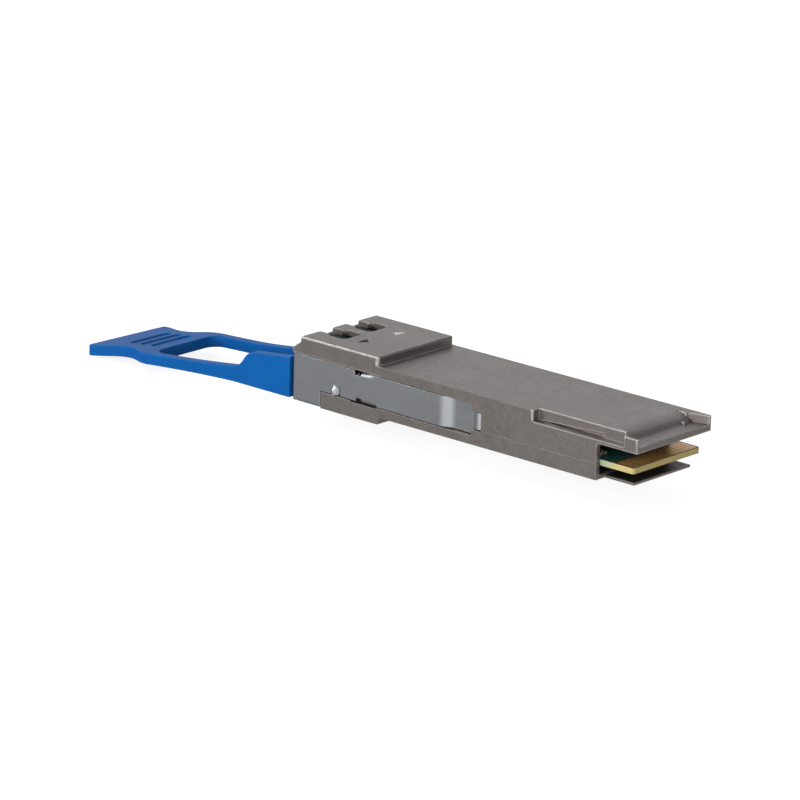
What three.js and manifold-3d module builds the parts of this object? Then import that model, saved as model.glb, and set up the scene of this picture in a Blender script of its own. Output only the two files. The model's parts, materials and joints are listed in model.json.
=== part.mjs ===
/**
 * Pluggable optical transceiver module with a duplex fibre receptacle and a soft pull tab.
 *
 * Millimetres. Y runs across the width, and Z points up with Z = 0 on the underside of the main body.
 * X runs along the module, with -X towards the fibre side. Pieces are drawn with X = 0 at the rear edge
 * of the hood that enters the host cage, and the group then moves them by HOOD_X, so that the part's
 * origin is the point of the underside midway between the two rear screws.
 * Parts that exist on both flanks are made once for a side sign: -1 or +1.
 */
import * as THREE from 'three';
import { mergeVertices } from 'three/addons/utils/BufferGeometryUtils.js';
import Module from 'manifold-3d';

const wasm = await Module();
wasm.setup();

// Hood edge in the part's own frame
const HOOD_X = 26.5;

// Clearance that carries a cutter past the surface it opens
const PAST = 1;

// Housing envelope
const HALF_WIDTH = 9.175;
const BODY_TOP = 8.5;
const SEAM_Z = 2.7;
const WALL_END_X = -7.95;
const FLOOR = 0.8;
const ROOF_INSIDE = 7.0;

// Hood over the card edge: two thin ears, and a rounded heat-sink lead-in between two narrow rims
const HOOD_BOTTOM = 5.98;
const LIP_TOP = 7.08;
const LEAD_IN = { x: -5.9, run: 2.9, drop: 1.5, turn: 70, footX: -2.75 };
const LEAD_IN_STEPS = 8;
const EAR_X = -2.66;
const EAR_Y = 8.6;
const EAR_TOP = 8.3;
const RIM_Y = 7.2;
const RIM_END_X = -3.5;
const EAR_CORNER = 0.3;
const STEP_X = -21.0;
const STEP_LEDGE = 6.61;
const STEP_Y = 7.675;
const STEP_CORNER = 0.4;
const SLOT_X0 = -20.5;
const SLOT_X1 = -7.9;
const SLOT_HEIGHT = 0.66;
const SLOT_DEPTH = 0.5;
const NIB = { x0: -3.3, x1: -2.5, y0: 5.4, y1: 6.3, height: 0.4 };

// Tongue of the lower shell, under the card edge
const REAR_TONGUE = { x1: -2.1, half: 6.95, top: 0.45 };

// Nose: the raised part that stays outside the cage
const NOSE_BACK_X = -53.4;
const NOSE_STOP_X = -52.9;
const NOSE_FRONT_X = -71.95;
const NOSE_TOP = 10.0;
const NOSE_TOP_X = -70.2;
const NOSE_BROW_X = -70.35;
const NOSE_BROW_Z = 9.0;
const NOSE_CHIN_Z = 7.9;
const NOSE_EDGE = 0.25;
const NOSE_CORNER = 0.75;
const NOSE_FOOT_RADIUS = 0.45;
const NOSE_FOOT_STEPS = 4;
const NOSE_BLOCK_X = -65.75;
const NOSE_BLOCK_BOTTOM = -1.18;
const NOSE_INNER_X = -54.6;
const NOSE_CEILING = 9.0;

// Cavities
const CHANNEL_Y = 7.0;
const REAR_CAVITY_X = -31.0;
const REAR_CAVITY_Y = 8.3;
const REAR_ROOF_Y = 6.6;
const RECEPTACLE_CAVITY_Y = 6.3;
const ROOF_WALL = 1.2;
const PEDESTAL = { x0: -36.5, x1: -28.5, half: 4.0, bottom: 5.4 };
const REAR_RAIL = { x0: -21.0, x1: -10.0, y: 7.2 };
const FRONT_RAIL = { x0: -42.0, x1: -31.5, y: 5.8 };

// Shallow triangles that show which way the light goes
const MARK = { x: -61.0, y: 3.8, halfBase: 1.3, height: 1.6, depth: 0.15 };

// Blank label in its recess under the body
const LABEL = { x0: -50.0, x1: -30.0, half: 6.9, bottom: 0.03, top: 0.15, gap: 0.2 };

// Fibre ports
const PORT_PITCH = 6.25;
const PORT_AXIS_Z = 3.95;
const PORT_HALF = 2.4;
const LATCH_SLOT_HALF = 1.5;
const LATCH_HEAD_HALF = 2.3;
const LATCH_HEAD_X0 = -67.6;
const LATCH_HEAD_X1 = -64.2;
const LATCH_CORNER = 1.0;
const LATCH_TAPER = 0.5;
const RECEPTACLE = { x0: -71.5, x1: -58.2, half: 6.1, top: 8.8 };
const PORT_DEPTH_X = -61.4;
const PORT_SIDES = 28;
const SLEEVE = { x0: -66.8, flangeX: -60.2, x1: -57.2, bore: 0.64, radius: 1.5, flange: 1.75 };
const SLEEVE_CHAMFER = 0.2;
const SLEEVE_GAP = 0.15;
const GASKET = { x1: -57.7, hole: 1.85 };

// Light source and detector boxes, their clamp and their ribbon circuits
const OPTIC = { x0: -55.8, x1: -45.0, half: 2.85, top: 6.2, ringX: -57.2, ringRadius: 2.2 };
const TERRACE = { x1: -43.4, half: 2.6, bottom: 3.9, top: 4.7 };
const CLAMP = { x0: -54.4, x1: -52.2, half: 6.6, bottom: 6.25, sheet: 0.4 };
const FLEX = { x0: -44.8, bendX0: -43.2, bendX1: -41.8, x1: -40.2, half: 2.2, thick: 0.12, gap: 0.02 };

// Latch slider: one bent sheet
const SHEET = 0.5;
const SLIDER_Y = 9.1;
const SLIDER_FRONT_X = -71.9;
const CHEEK_BACK_X = -65.9;
const SLIDER_BOTTOM = -1.16;
const ARM_TOP_FRONT = 6.97;
const ARM_TOP_BACK = 6.55;
const ARM_LOW_FRONT = 1.75;
const ARM_LOW_BACK = 1.5;
const JOG_X0 = -40.0;
const JOG_X1 = -38.0;
const JOG_DEPTH = 0.85;
const TIP_X = -33.8;
const TONGUE_END_X = -31.7;
const TONGUE_Z0 = 2.6;
const TONGUE_Z1 = 5.4;
const CURL = 0.75;
const CURL_STEPS = 8;
const CURL_ANGLE = 0.85 * Math.PI;
const POCKET_FLOOR_Y = 8.5;
const TIP_POCKET_Y = 7.55;
const TIP_POCKET_X = -42.9;
const RUN_GAP = 0.12;
const TRAVEL = 2.0;
const LUG_SLIT = { x0: -62.0, x1: -61.6, top: 3.1 };
const UPPER_RELIEF = { x: -58.6, bottom: 6.2 };
const LOWER_RELIEF = { x: -58.2, top: 2.3 };

// Folded tabs of the slider and the return springs they push
const UPPER_TAB = { x0: -57.3, x1: -54.6, z0: 6.05, z1: 6.55 };
const LOWER_TAB = { x0: -57.1, x1: -53.9, z0: 1.62, z1: 2.12 };
const TAB_INNER_Y = 7.3;
const TAB_GAP = 0.25;
const SPRING_SEAT = { y0: 7.0, y1: 8.35, z0: 4.9 };
const SPRING_X0 = -64.5;
const SPRING_RADIUS = 0.68;
const SPRING_WIRE = 0.15;
const SPRING_TURNS = 8;
const SPRING_STEPS = 14;
const SPRING_END_GAP = 0.02;
const SPRING_Y = 7.65;
const SPRING_Z = 5.75;
const SPRING_POCKET_Y = 6.75;
const SPRING_POCKET_Z0 = 4.75;
const SPRING_POCKET_Z1 = 6.75;

// Pull tab in plan
const TAB_HALF = 9.1;
const TAB_LEG = 1.75;
const TAB_START_X = -72.7;
const TAB_END_X = -118.7;
const TAB_WAIST_X = -111.6;
const TAB_WAIST_HALF = 7.1;
const TAB_END_HALF = 9.1;
const TAB_END_CORNER = 0.4;
const FLARE_EASE = 2.6;
const GRIP_INNER_X = -105.0;
const GRIP_CORNER = 2.2;

// Pull tab from the side: cheek, leg root, leg sag, grip root, grip sag and grip end
const CHEEK = { x: -80.2, frontTop: 5.95, backTop: 5.2, corner: 2.0 };
const LEG_ROOT = { x: -84.4, top: 1.9, bottom: -0.95 };
const LEG_SAG = { x: -94.0, top: 0.55, bottom: -1.3 };
const GRIP_ROOT = { x: -104.3, top: -0.3, bottom: -2.25 };
const GRIP_SAG = { x: -111.0, top: -1.0, bottom: -2.95 };
const GRIP_END = { top: -2.15, bottom: -4.1 };
const RIB = { x: -108.2, pitch: -2.0, count: 4, halfWidth: 0.5, halfLength: 4.6, depth: 0.3 };

// Sheet tangs of the slider that the tab is moulded on
const TANG = { x0: -79.0, x1: -71.9, y0: 8.0, y1: 8.5, z0: 0.9, z1: 4.1 };
const TANG_GAP = 0.3;
const TANG_ROOT = 1.0;

// Board with its card edge
const BOARD_BOTTOM = 2.25;
const BOARD_TOP = 3.25;
const BOARD_END_X = -1.3;
const BOARD_FRONT_X = -43.0;
const BOARD_HALF = 8.2;
const BOARD_CORNER = 0.3;
const BOARD_NECK = { x0: -29.6, x1: -22.0, half: 5.1, ease: 1.5 };
const BOARD_FRONT_HALF = 6.6;
const CONTACTS = 19;
const CONTACT_PITCH = 0.8;
const CONTACT_WIDTH = 0.54;
const CONTACT_X0 = -5.2;
const CONTACT_X1 = -1.5;
const CONTACT_THICKNESS = 0.05;
const CONTACT_BAR = 0.15;

// Screws that join the two shells, driven from below
const SCREWS = [
  { x: -62.0, y: -7.3 },
  { x: -62.0, y: 7.3 },
  { x: -26.5, y: -7.2 },
  { x: -26.5, y: 7.2 },
];
const SCREW_RADIUS = 0.6;
const SCREW_HEAD_RADIUS = 1.15;
const SCREW_HEAD = 0.7;
const SCREW_TIP_Z = 4.4;
const SCREW_SIDES = 24;
const SCREW_SOCKET = { radius: 0.55, depth: 0.4, sides: 6 };
const SCREW_GAP = 0.05;
const BOSS_RADIUS = 1.75;
const BOSS_REACH = 0.4;

// ---------------------------------------------------------------- solids

/** Closed mesh with merged corners as a manifold solid. */
function solid(geometry) {
  const bare = geometry.index ? geometry.toNonIndexed() : geometry.clone();
  bare.deleteAttribute('normal');
  bare.deleteAttribute('uv');
  const merged = mergeVertices(bare, 1e-5);
  return new wasm.Manifold(new wasm.Mesh({
    numProp: 3,
    vertProperties: new Float32Array(merged.attributes.position.array),
    triVerts: new Uint32Array(merged.index.array),
  }));
}

function geometryOf(body) {
  const mesh = body.getMesh();
  const geometry = new THREE.BufferGeometry();
  geometry.setAttribute('position', new THREE.BufferAttribute(new Float32Array(mesh.vertProperties), 3));
  geometry.setIndex(new THREE.BufferAttribute(new Uint32Array(mesh.triVerts), 1));
  geometry.computeVertexNormals();
  return geometry;
}

/** Box from its lowest and highest corners; the Y pair may come in either order. */
function block(x0, x1, ya, yb, z0, z1) {
  const size = new THREE.Vector3(x1 - x0, Math.abs(yb - ya), z1 - z0);
  const box = new THREE.BoxGeometry(size.x, size.y, size.z);
  box.translate((x0 + x1) / 2, (ya + yb) / 2, (z0 + z1) / 2);
  return solid(box);
}

/** Extrusion of an outline without bevels. */
function extrude(outline, depth) {
  const shape = outline instanceof THREE.Shape ? outline : new THREE.Shape(outline);
  return new THREE.ExtrudeGeometry(shape, { depth, bevelEnabled: false, curveSegments: 10 });
}

/** Outline in (X, Z), extruded across Y between two values. */
function sideProfile(outline, ya, yb) {
  const geometry = extrude(outline, Math.abs(yb - ya));
  geometry.rotateX(Math.PI / 2);
  geometry.translate(0, Math.max(ya, yb), 0);
  return solid(geometry);
}

/** Outline in (X, Y), extruded up from z0 to z1. */
function planProfile(outline, z0, z1) {
  const geometry = extrude(outline, z1 - z0);
  geometry.translate(0, 0, z0);
  return solid(geometry);
}

/** Outline in (Y, Z), extruded along X from x0 to x1. */
function endProfile(outline, x0, x1) {
  const geometry = extrude(outline, x1 - x0);
  geometry.applyMatrix4(new THREE.Matrix4().makeBasis(
    new THREE.Vector3(0, 1, 0),
    new THREE.Vector3(0, 0, 1),
    new THREE.Vector3(1, 0, 0),
  ));
  geometry.translate(x0, 0, 0);
  return solid(geometry);
}

/** Cylinder along Z. */
function post(x, y, z0, z1, radius) {
  const geometry = new THREE.CylinderGeometry(radius, radius, z1 - z0, SCREW_SIDES);
  geometry.rotateX(Math.PI / 2);
  geometry.translate(x, y, (z0 + z1) / 2);
  return solid(geometry);
}

/** Turned piece along X from (radius, x) points that start and end on the axis or close on themselves. */
function turned(points, y, z, sides) {
  const geometry = new THREE.LatheGeometry(points.map(([r, x]) => new THREE.Vector2(r, x)), sides);
  geometry.rotateZ(-Math.PI / 2);
  geometry.translate(0, y, z);
  return solid(geometry);
}

const points = (list) => list.map(([u, v]) => new THREE.Vector2(u, v));
const join = (list) => list.reduce((all, one) => all.add(one));
const cut = (body, list) => list.reduce((rest, tool) => rest.subtract(tool), body);
const bothSides = (make) => [make(-1), make(1)];

// ---------------------------------------------------------------- shared cutters

/** Height of the arm's top and bottom edges at a station along the module. */
function armTop(x) {
  return THREE.MathUtils.mapLinear(x, SLIDER_FRONT_X, TIP_X, ARM_TOP_FRONT, ARM_TOP_BACK);
}

function armLow(x) {
  return THREE.MathUtils.mapLinear(x, CHEEK_BACK_X, TIP_X, ARM_LOW_FRONT, ARM_LOW_BACK);
}

/** Recess in one flank that the slider runs in, with the deep end for its stepped-in tip. */
function armPocket(side) {
  const outside = HALF_WIDTH + PAST;
  const frontX = NOSE_FRONT_X - PAST;
  const shallow = sideProfile(points([
    [frontX, NOSE_BLOCK_BOTTOM - PAST],
    [NOSE_BLOCK_X, NOSE_BLOCK_BOTTOM - PAST],
    [NOSE_BLOCK_X, armLow(NOSE_BLOCK_X) - RUN_GAP],
    [TIP_X + RUN_GAP, armLow(TIP_X) - RUN_GAP],
    [TIP_X + RUN_GAP, armTop(TIP_X) + RUN_GAP],
    [frontX, armTop(frontX) + RUN_GAP],
  ]), side * POCKET_FLOOR_Y, side * outside);
  const deep = sideProfile(points([
    [TIP_POCKET_X, armLow(TIP_POCKET_X) - RUN_GAP],
    [TIP_X + RUN_GAP, armLow(TIP_X) - RUN_GAP],
    [TIP_X + RUN_GAP, TONGUE_Z0 - RUN_GAP],
    [TONGUE_END_X + RUN_GAP, TONGUE_Z0 - RUN_GAP],
    [TONGUE_END_X + RUN_GAP, TONGUE_Z1 + RUN_GAP],
    [TIP_X + RUN_GAP, TONGUE_Z1 + RUN_GAP],
    [TIP_X + RUN_GAP, armTop(TIP_X) + RUN_GAP],
    [TIP_POCKET_X, armTop(TIP_POCKET_X) + RUN_GAP],
  ]), side * TIP_POCKET_Y, side * outside);
  return shallow.add(deep);
}

/** Slot that a folded tab of the slider travels in. */
function tabSlot(side, tab) {
  return block(tab.x0 - TRAVEL - TAB_GAP, tab.x1 + TAB_GAP, side * (TAB_INNER_Y - TAB_GAP), side * HALF_WIDTH,
    tab.z0 - TAB_GAP, tab.z1 + TAB_GAP);
}

/** Pocket for one return spring, open to the flank. */
function springPocket(side) {
  return block(SPRING_X0, UPPER_TAB.x1 + TAB_GAP, side * SPRING_POCKET_Y, side * HALF_WIDTH,
    SPRING_POCKET_Z0, SPRING_POCKET_Z1);
}

/** Relief behind the slider's front edge for the tang that the pull tab is moulded on. */
function tangRelief(side) {
  return block(NOSE_FRONT_X - PAST, TANG.x1 + TANG_ROOT + TANG_GAP, side * (TANG.y0 - RUN_GAP),
    side * HALF_WIDTH, TANG.z0 - RUN_GAP, TANG.z1 + RUN_GAP);
}

/** T-shaped opening in the nose roof where a fibre plug's latch snaps in. */
function latchNotch(centreY) {
  const shape = new THREE.Shape();
  shape.moveTo(NOSE_FRONT_X - PAST, centreY - LATCH_SLOT_HALF);
  shape.lineTo(LATCH_HEAD_X0 - LATCH_TAPER, centreY - LATCH_SLOT_HALF);
  shape.lineTo(LATCH_HEAD_X0, centreY - LATCH_HEAD_HALF);
  shape.lineTo(LATCH_HEAD_X1 - LATCH_CORNER, centreY - LATCH_HEAD_HALF);
  shape.absarc(LATCH_HEAD_X1 - LATCH_CORNER, centreY - LATCH_HEAD_HALF + LATCH_CORNER, LATCH_CORNER,
    -Math.PI / 2, 0, false);
  shape.absarc(LATCH_HEAD_X1 - LATCH_CORNER, centreY + LATCH_HEAD_HALF - LATCH_CORNER, LATCH_CORNER,
    0, Math.PI / 2, false);
  shape.lineTo(LATCH_HEAD_X0, centreY + LATCH_HEAD_HALF);
  shape.lineTo(LATCH_HEAD_X0 - LATCH_TAPER, centreY + LATCH_SLOT_HALF);
  shape.lineTo(NOSE_FRONT_X - PAST, centreY + LATCH_SLOT_HALF);
  return planProfile(shape, NOSE_CEILING - PAST, NOSE_TOP + PAST);
}

/** Shallow triangle above one port: its tip at +X for side -1, where light leaves, and at -X for side 1. */
function directionMark(side) {
  const centreY = side * MARK.y;
  const reach = -side * MARK.height / 2;
  return planProfile(points([
    [MARK.x - reach, centreY - MARK.halfBase],
    [MARK.x - reach, centreY + MARK.halfBase],
    [MARK.x + reach, centreY],
  ]), NOSE_TOP - MARK.depth, NOSE_TOP + PAST);
}

// ---------------------------------------------------------------- housing

/** Step along the upper edge of the -Y side, its wedge slot, and the lowered ear behind it. */
function stepCutters() {
  const outside = -(HALF_WIDTH + PAST);
  return [
    block(STEP_X, EAR_X, -STEP_Y, outside, STEP_LEDGE, BODY_TOP + PAST),
    block(EAR_X, PAST, -STEP_Y, outside, EAR_TOP, BODY_TOP + PAST),
    sideProfile(points([
      [SLOT_X0, STEP_LEDGE],
      [SLOT_X1, STEP_LEDGE],
      [SLOT_X1, STEP_LEDGE + SLOT_HEIGHT],
    ]), -(STEP_Y - SLOT_DEPTH), -(STEP_Y + SLOT_DEPTH)),
  ];
}

/** Ramp at the hood's rear edge: it rolls over from the top and ends on a narrow lip. */
function leadInRamp() {
  const outline = [[PAST, LIP_TOP], [LEAD_IN.footX, LIP_TOP]];
  for (let i = LEAD_IN_STEPS; i >= 0; i -= 1) {
    const angle = THREE.MathUtils.degToRad(LEAD_IN.turn * i / LEAD_IN_STEPS);
    outline.push([
      LEAD_IN.x + LEAD_IN.run * Math.sin(angle),
      BODY_TOP - LEAD_IN.drop * (1 - Math.cos(angle)),
    ]);
  }
  outline.push([LEAD_IN.x, BODY_TOP + PAST], [PAST, BODY_TOP + PAST]);
  return sideProfile(points(outline), -RIM_Y, RIM_Y);
}

/** Reliefs between each rim's end and the ear, down to the lip; the wall of the +Y ear is drafted. */
function rimPockets() {
  const drafted = planProfile(points([
    [RIM_END_X, RIM_Y],
    [PAST, RIM_Y],
    [PAST, EAR_Y],
    [0, EAR_Y],
    [RIM_END_X, STEP_Y],
  ]), LIP_TOP, BODY_TOP + PAST);
  return [drafted, block(RIM_END_X, PAST, -EAR_Y, -RIM_Y, LIP_TOP, BODY_TOP + PAST)];
}

/** Cutter that rounds a vertical outer corner whose solid lies towards -X, seen from above. */
function cornerRound(side, x, radius, z0, reach) {
  const y = side * (HALF_WIDTH - radius);
  const z1 = NOSE_TOP + PAST;
  const corner = block(x - radius, x + reach, y, side * (HALF_WIDTH + PAST), z0, z1);
  return corner.subtract(post(x - radius, y, z0 - PAST, z1 + PAST, radius));
}

/** Rounding of one rear corner of the nose, down to the top of the body. */
function noseCorner(side) {
  return cornerRound(side, NOSE_BACK_X, NOSE_CORNER, BODY_TOP, NOSE_FOOT_RADIUS);
}

/** Rounded foot where the nose's rear face meets the top, from the top up. */
function noseFoot() {
  const arc = [];
  for (let i = 0; i <= NOSE_FOOT_STEPS; i += 1) {
    const angle = Math.PI / 2 * i / NOSE_FOOT_STEPS;
    arc.push([
      NOSE_BACK_X + NOSE_FOOT_RADIUS * (1 - Math.sin(angle)),
      BODY_TOP + NOSE_FOOT_RADIUS * (1 - Math.cos(angle)),
    ]);
  }
  return arc;
}

/** Chamfer along the upper edge of one side of the nose. */
function noseChamfer(side) {
  return endProfile(points([
    [side * (HALF_WIDTH - NOSE_EDGE - PAST), NOSE_TOP + PAST],
    [side * (HALF_WIDTH + PAST), NOSE_TOP - NOSE_EDGE - PAST],
    [side * (HALF_WIDTH + PAST), NOSE_TOP + PAST],
  ]), NOSE_FRONT_X - PAST, NOSE_BACK_X + PAST);
}

/** Bosses for the rear screws, cut off at the side walls. */
function rearBosses(z0, z1) {
  const wall = REAR_CAVITY_Y + BOSS_REACH;
  return SCREWS.filter((screw) => screw.x > REAR_CAVITY_X).map((screw) => (
    post(screw.x, screw.y, z0, z1, BOSS_RADIUS)
      .intersect(block(screw.x - 2 * BOSS_RADIUS, screw.x + 2 * BOSS_RADIUS, -wall, wall, z0, z1))
  ));
}

function upperShell() {
  const body = sideProfile(points([
    [WALL_END_X, SEAM_Z],
    [WALL_END_X, HOOD_BOTTOM],
    [0, HOOD_BOTTOM],
    [0, BODY_TOP],
    ...noseFoot(),
    [NOSE_BACK_X, NOSE_TOP - NOSE_EDGE],
    [NOSE_BACK_X - NOSE_EDGE, NOSE_TOP],
    [NOSE_TOP_X, NOSE_TOP],
    [NOSE_BROW_X, NOSE_BROW_Z],
    [NOSE_FRONT_X, NOSE_CHIN_Z],
    [NOSE_FRONT_X, SEAM_Z],
  ]), -HALF_WIDTH, HALF_WIDTH);

  const cutters = [
    leadInRamp(),
    ...rimPockets(),
    block(REAR_CAVITY_X, WALL_END_X + PAST, -REAR_CAVITY_Y, REAR_CAVITY_Y, 0, HOOD_BOTTOM),
    block(REAR_CAVITY_X - PAST, WALL_END_X - ROOF_WALL, -REAR_ROOF_Y, REAR_ROOF_Y, 0, ROOF_INSIDE),
    block(NOSE_INNER_X, REAR_CAVITY_X, -CHANNEL_Y, CHANNEL_Y, 0, ROOF_INSIDE),
    block(NOSE_FRONT_X - PAST, NOSE_INNER_X, -RECEPTACLE_CAVITY_Y, RECEPTACLE_CAVITY_Y, 0, NOSE_CEILING),
    ...bothSides(directionMark),
    ...bothSides((s) => latchNotch(s * PORT_PITCH / 2)),
    ...bothSides(armPocket),
    ...bothSides(tangRelief),
    ...bothSides((s) => tabSlot(s, UPPER_TAB)),
    ...bothSides(springPocket),
    ...stepCutters(),
    ...bothSides(noseChamfer),
    ...bothSides(noseCorner),
    ...bothSides((s) => cornerRound(s, 0, EAR_CORNER, HOOD_BOTTOM - PAST, PAST)),
    cornerRound(-1, STEP_X, STEP_CORNER, STEP_LEDGE, PAST),
  ];
  const screwHoles = SCREWS.map((screw) => (
    post(screw.x, screw.y, 0, SCREW_TIP_Z + TAB_GAP, SCREW_RADIUS + SCREW_GAP)
  ));
  const pedestal = block(PEDESTAL.x0, PEDESTAL.x1, -PEDESTAL.half, PEDESTAL.half, PEDESTAL.bottom,
    (ROOF_INSIDE + BODY_TOP) / 2);
  const nib = block(NIB.x0, NIB.x1, NIB.y0, NIB.y1, (HOOD_BOTTOM + LIP_TOP) / 2, LIP_TOP + NIB.height);
  return cut(join([cut(body, cutters), pedestal, nib, ...rearBosses(SEAM_Z, ROOF_INSIDE)]), screwHoles);
}

/** Rails of the lower shell that the board rests on. */
function boardRails(side) {
  return join([
    block(REAR_RAIL.x0, REAR_RAIL.x1, side * REAR_RAIL.y, side * (REAR_CAVITY_Y + BOSS_REACH), FLOOR / 2,
      BOARD_BOTTOM),
    block(FRONT_RAIL.x0, FRONT_RAIL.x1, side * FRONT_RAIL.y, side * (CHANNEL_Y + BOSS_REACH), FLOOR / 2,
      BOARD_BOTTOM),
  ]);
}

/** Underside of the shell around a screw. */
function screwSeat(screw) {
  return screw.x < NOSE_BACK_X ? NOSE_BLOCK_BOTTOM : 0;
}

function lowerShell() {
  const noseFront = NOSE_FRONT_X + RUN_GAP;
  const liftedFloor = SLIDER_BOTTOM + SHEET + RUN_GAP;
  const body = sideProfile(points([
    [WALL_END_X, 0],
    [NOSE_STOP_X, 0],
    [NOSE_BACK_X, NOSE_BLOCK_BOTTOM],
    [NOSE_BLOCK_X, NOSE_BLOCK_BOTTOM],
    [NOSE_BLOCK_X, liftedFloor],
    [noseFront, liftedFloor],
    [noseFront, SEAM_Z],
    [WALL_END_X, SEAM_Z],
  ]), -HALF_WIDTH, HALF_WIDTH);
  const tongue = block(WALL_END_X - PAST, REAR_TONGUE.x1, -REAR_TONGUE.half, REAR_TONGUE.half, 0,
    REAR_TONGUE.top);
  const above = SEAM_Z + PAST;
  const cutters = [
    block(NOSE_INNER_X, REAR_CAVITY_X, -CHANNEL_Y, CHANNEL_Y, FLOOR, above),
    block(REAR_CAVITY_X, WALL_END_X + PAST, -REAR_CAVITY_Y, REAR_CAVITY_Y, FLOOR, above),
    block(NOSE_FRONT_X - PAST, NOSE_INNER_X, -RECEPTACLE_CAVITY_Y, RECEPTACLE_CAVITY_Y, FLOOR, above),
    block(LABEL.x0 - LABEL.gap, LABEL.x1 + LABEL.gap, -LABEL.half - LABEL.gap, LABEL.half + LABEL.gap,
      -PAST, LABEL.top),
    ...bothSides(armPocket),
    ...bothSides(tangRelief),
    ...bothSides((s) => tabSlot(s, LOWER_TAB)),
  ];
  const screwHoles = SCREWS.flatMap((screw) => {
    const seat = screwSeat(screw);
    return [
      post(screw.x, screw.y, seat - PAST, above, SCREW_RADIUS + SCREW_GAP),
      post(screw.x, screw.y, seat - PAST, seat + SCREW_HEAD + SCREW_GAP, SCREW_HEAD_RADIUS + 2 * SCREW_GAP),
    ];
  });
  const rails = bothSides(boardRails);
  return cut(join([cut(body, cutters), tongue, ...rails, ...rearBosses(FLOOR / 2, SEAM_Z)]), screwHoles);
}

function shellScrew(screw) {
  const bottom = screwSeat(screw) + SCREW_GAP;
  const headTop = bottom + SCREW_HEAD;
  const socket = new THREE.CylinderGeometry(SCREW_SOCKET.radius, SCREW_SOCKET.radius, 2 * SCREW_SOCKET.depth,
    SCREW_SOCKET.sides);
  socket.rotateX(Math.PI / 2);
  socket.translate(screw.x, screw.y, bottom);
  return join([
    post(screw.x, screw.y, bottom, headTop, SCREW_HEAD_RADIUS),
    post(screw.x, screw.y, headTop - SCREW_GAP, SCREW_TIP_Z, SCREW_RADIUS),
  ]).subtract(solid(socket));
}

// ---------------------------------------------------------------- latch slider and springs

/** Plan outline of one arm: flat run, inward jog, tip and the outward curl that frees the cage latch. */
function armPlan(side) {
  const outer = [
    [SLIDER_FRONT_X, SLIDER_Y],
    [JOG_X0, SLIDER_Y],
    [JOG_X1, SLIDER_Y - JOG_DEPTH],
    [TIP_X, SLIDER_Y - JOG_DEPTH],
  ];
  for (let i = 1; i <= CURL_STEPS; i += 1) {
    const t = i / CURL_STEPS;
    outer.push([
      THREE.MathUtils.lerp(TIP_X, TONGUE_END_X, t),
      SLIDER_Y - JOG_DEPTH + CURL * Math.sin(t * CURL_ANGLE),
    ]);
  }
  const inner = outer.map(([x, y]) => [x, y - SHEET]).reverse();
  return points([...outer, ...inner].map(([x, y]) => [x, side * y]));
}

/** Side outline of one arm with its relief notches, lanced lug and narrow end tongue. */
function armSide() {
  return points([
    [SLIDER_FRONT_X, SLIDER_BOTTOM],
    [CHEEK_BACK_X, SLIDER_BOTTOM],
    [CHEEK_BACK_X, armLow(CHEEK_BACK_X)],
    [LUG_SLIT.x0, armLow(LUG_SLIT.x0)],
    [LUG_SLIT.x0, LUG_SLIT.top],
    [LUG_SLIT.x1, LUG_SLIT.top],
    [LUG_SLIT.x1, armLow(LUG_SLIT.x1)],
    [LOWER_RELIEF.x, armLow(LOWER_RELIEF.x)],
    [LOWER_RELIEF.x, LOWER_RELIEF.top],
    [LOWER_TAB.x0, LOWER_RELIEF.top],
    [LOWER_TAB.x0, LOWER_TAB.z0],
    [LOWER_TAB.x1, LOWER_TAB.z0],
    [TIP_X, armLow(TIP_X)],
    [TIP_X, TONGUE_Z0],
    [TONGUE_END_X, TONGUE_Z0],
    [TONGUE_END_X, TONGUE_Z1],
    [TIP_X, TONGUE_Z1],
    [TIP_X, armTop(TIP_X)],
    [UPPER_TAB.x1, armTop(UPPER_TAB.x1)],
    [UPPER_TAB.x1, UPPER_TAB.z1],
    [UPPER_TAB.x0, UPPER_TAB.z1],
    [UPPER_TAB.x0, UPPER_RELIEF.bottom],
    [UPPER_RELIEF.x, UPPER_RELIEF.bottom],
    [UPPER_RELIEF.x, armTop(UPPER_RELIEF.x)],
    [SLIDER_FRONT_X, ARM_TOP_FRONT],
  ]);
}

/** Arm, cheek, folded tabs, spring seat and tang of one flank. */
function sliderSide(side) {
  const sheet = planProfile(armPlan(side), SLIDER_BOTTOM, ARM_TOP_FRONT)
    .intersect(sideProfile(armSide(), side * TAB_INNER_Y, side * (SLIDER_Y + PAST)));
  const root = side * (SLIDER_Y - SHEET / 2);
  const folded = (tab) => block(tab.x0, tab.x1, side * TAB_INNER_Y, root, tab.z0, tab.z1);
  const springSeat = block(UPPER_TAB.x0, UPPER_TAB.x0 + SHEET, side * SPRING_SEAT.y0, side * SPRING_SEAT.y1,
    SPRING_SEAT.z0, UPPER_TAB.z1);
  const tang = block(TANG.x0, TANG.x1 + TANG_ROOT, side * TANG.y0, side * TANG.y1, TANG.z0, TANG.z1);
  const tangRoot = block(TANG.x1, TANG.x1 + TANG_ROOT, side * TANG.y0, root, TANG.z0, TANG.z1);
  return join([sheet, folded(UPPER_TAB), folded(LOWER_TAB), springSeat, tang, tangRoot]);
}

function latchSlider() {
  const top = SLIDER_BOTTOM + SHEET;
  const bridge = block(SLIDER_FRONT_X, CHEEK_BACK_X, -SLIDER_Y, SLIDER_Y, SLIDER_BOTTOM, top);
  return join([...bothSides(sliderSide), bridge]);
}

class CoilCurve extends THREE.Curve {
  constructor(x0, x1, y, z, radius, turns) {
    super();
    Object.assign(this, { x0, x1, y, z, radius, turns });
  }

  getPoint(t, target = new THREE.Vector3()) {
    const angle = t * this.turns * 2 * Math.PI;
    return target.set(
      THREE.MathUtils.lerp(this.x0, this.x1, t),
      this.y + this.radius * Math.cos(angle),
      this.z + this.radius * Math.sin(angle),
    );
  }
}

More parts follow.
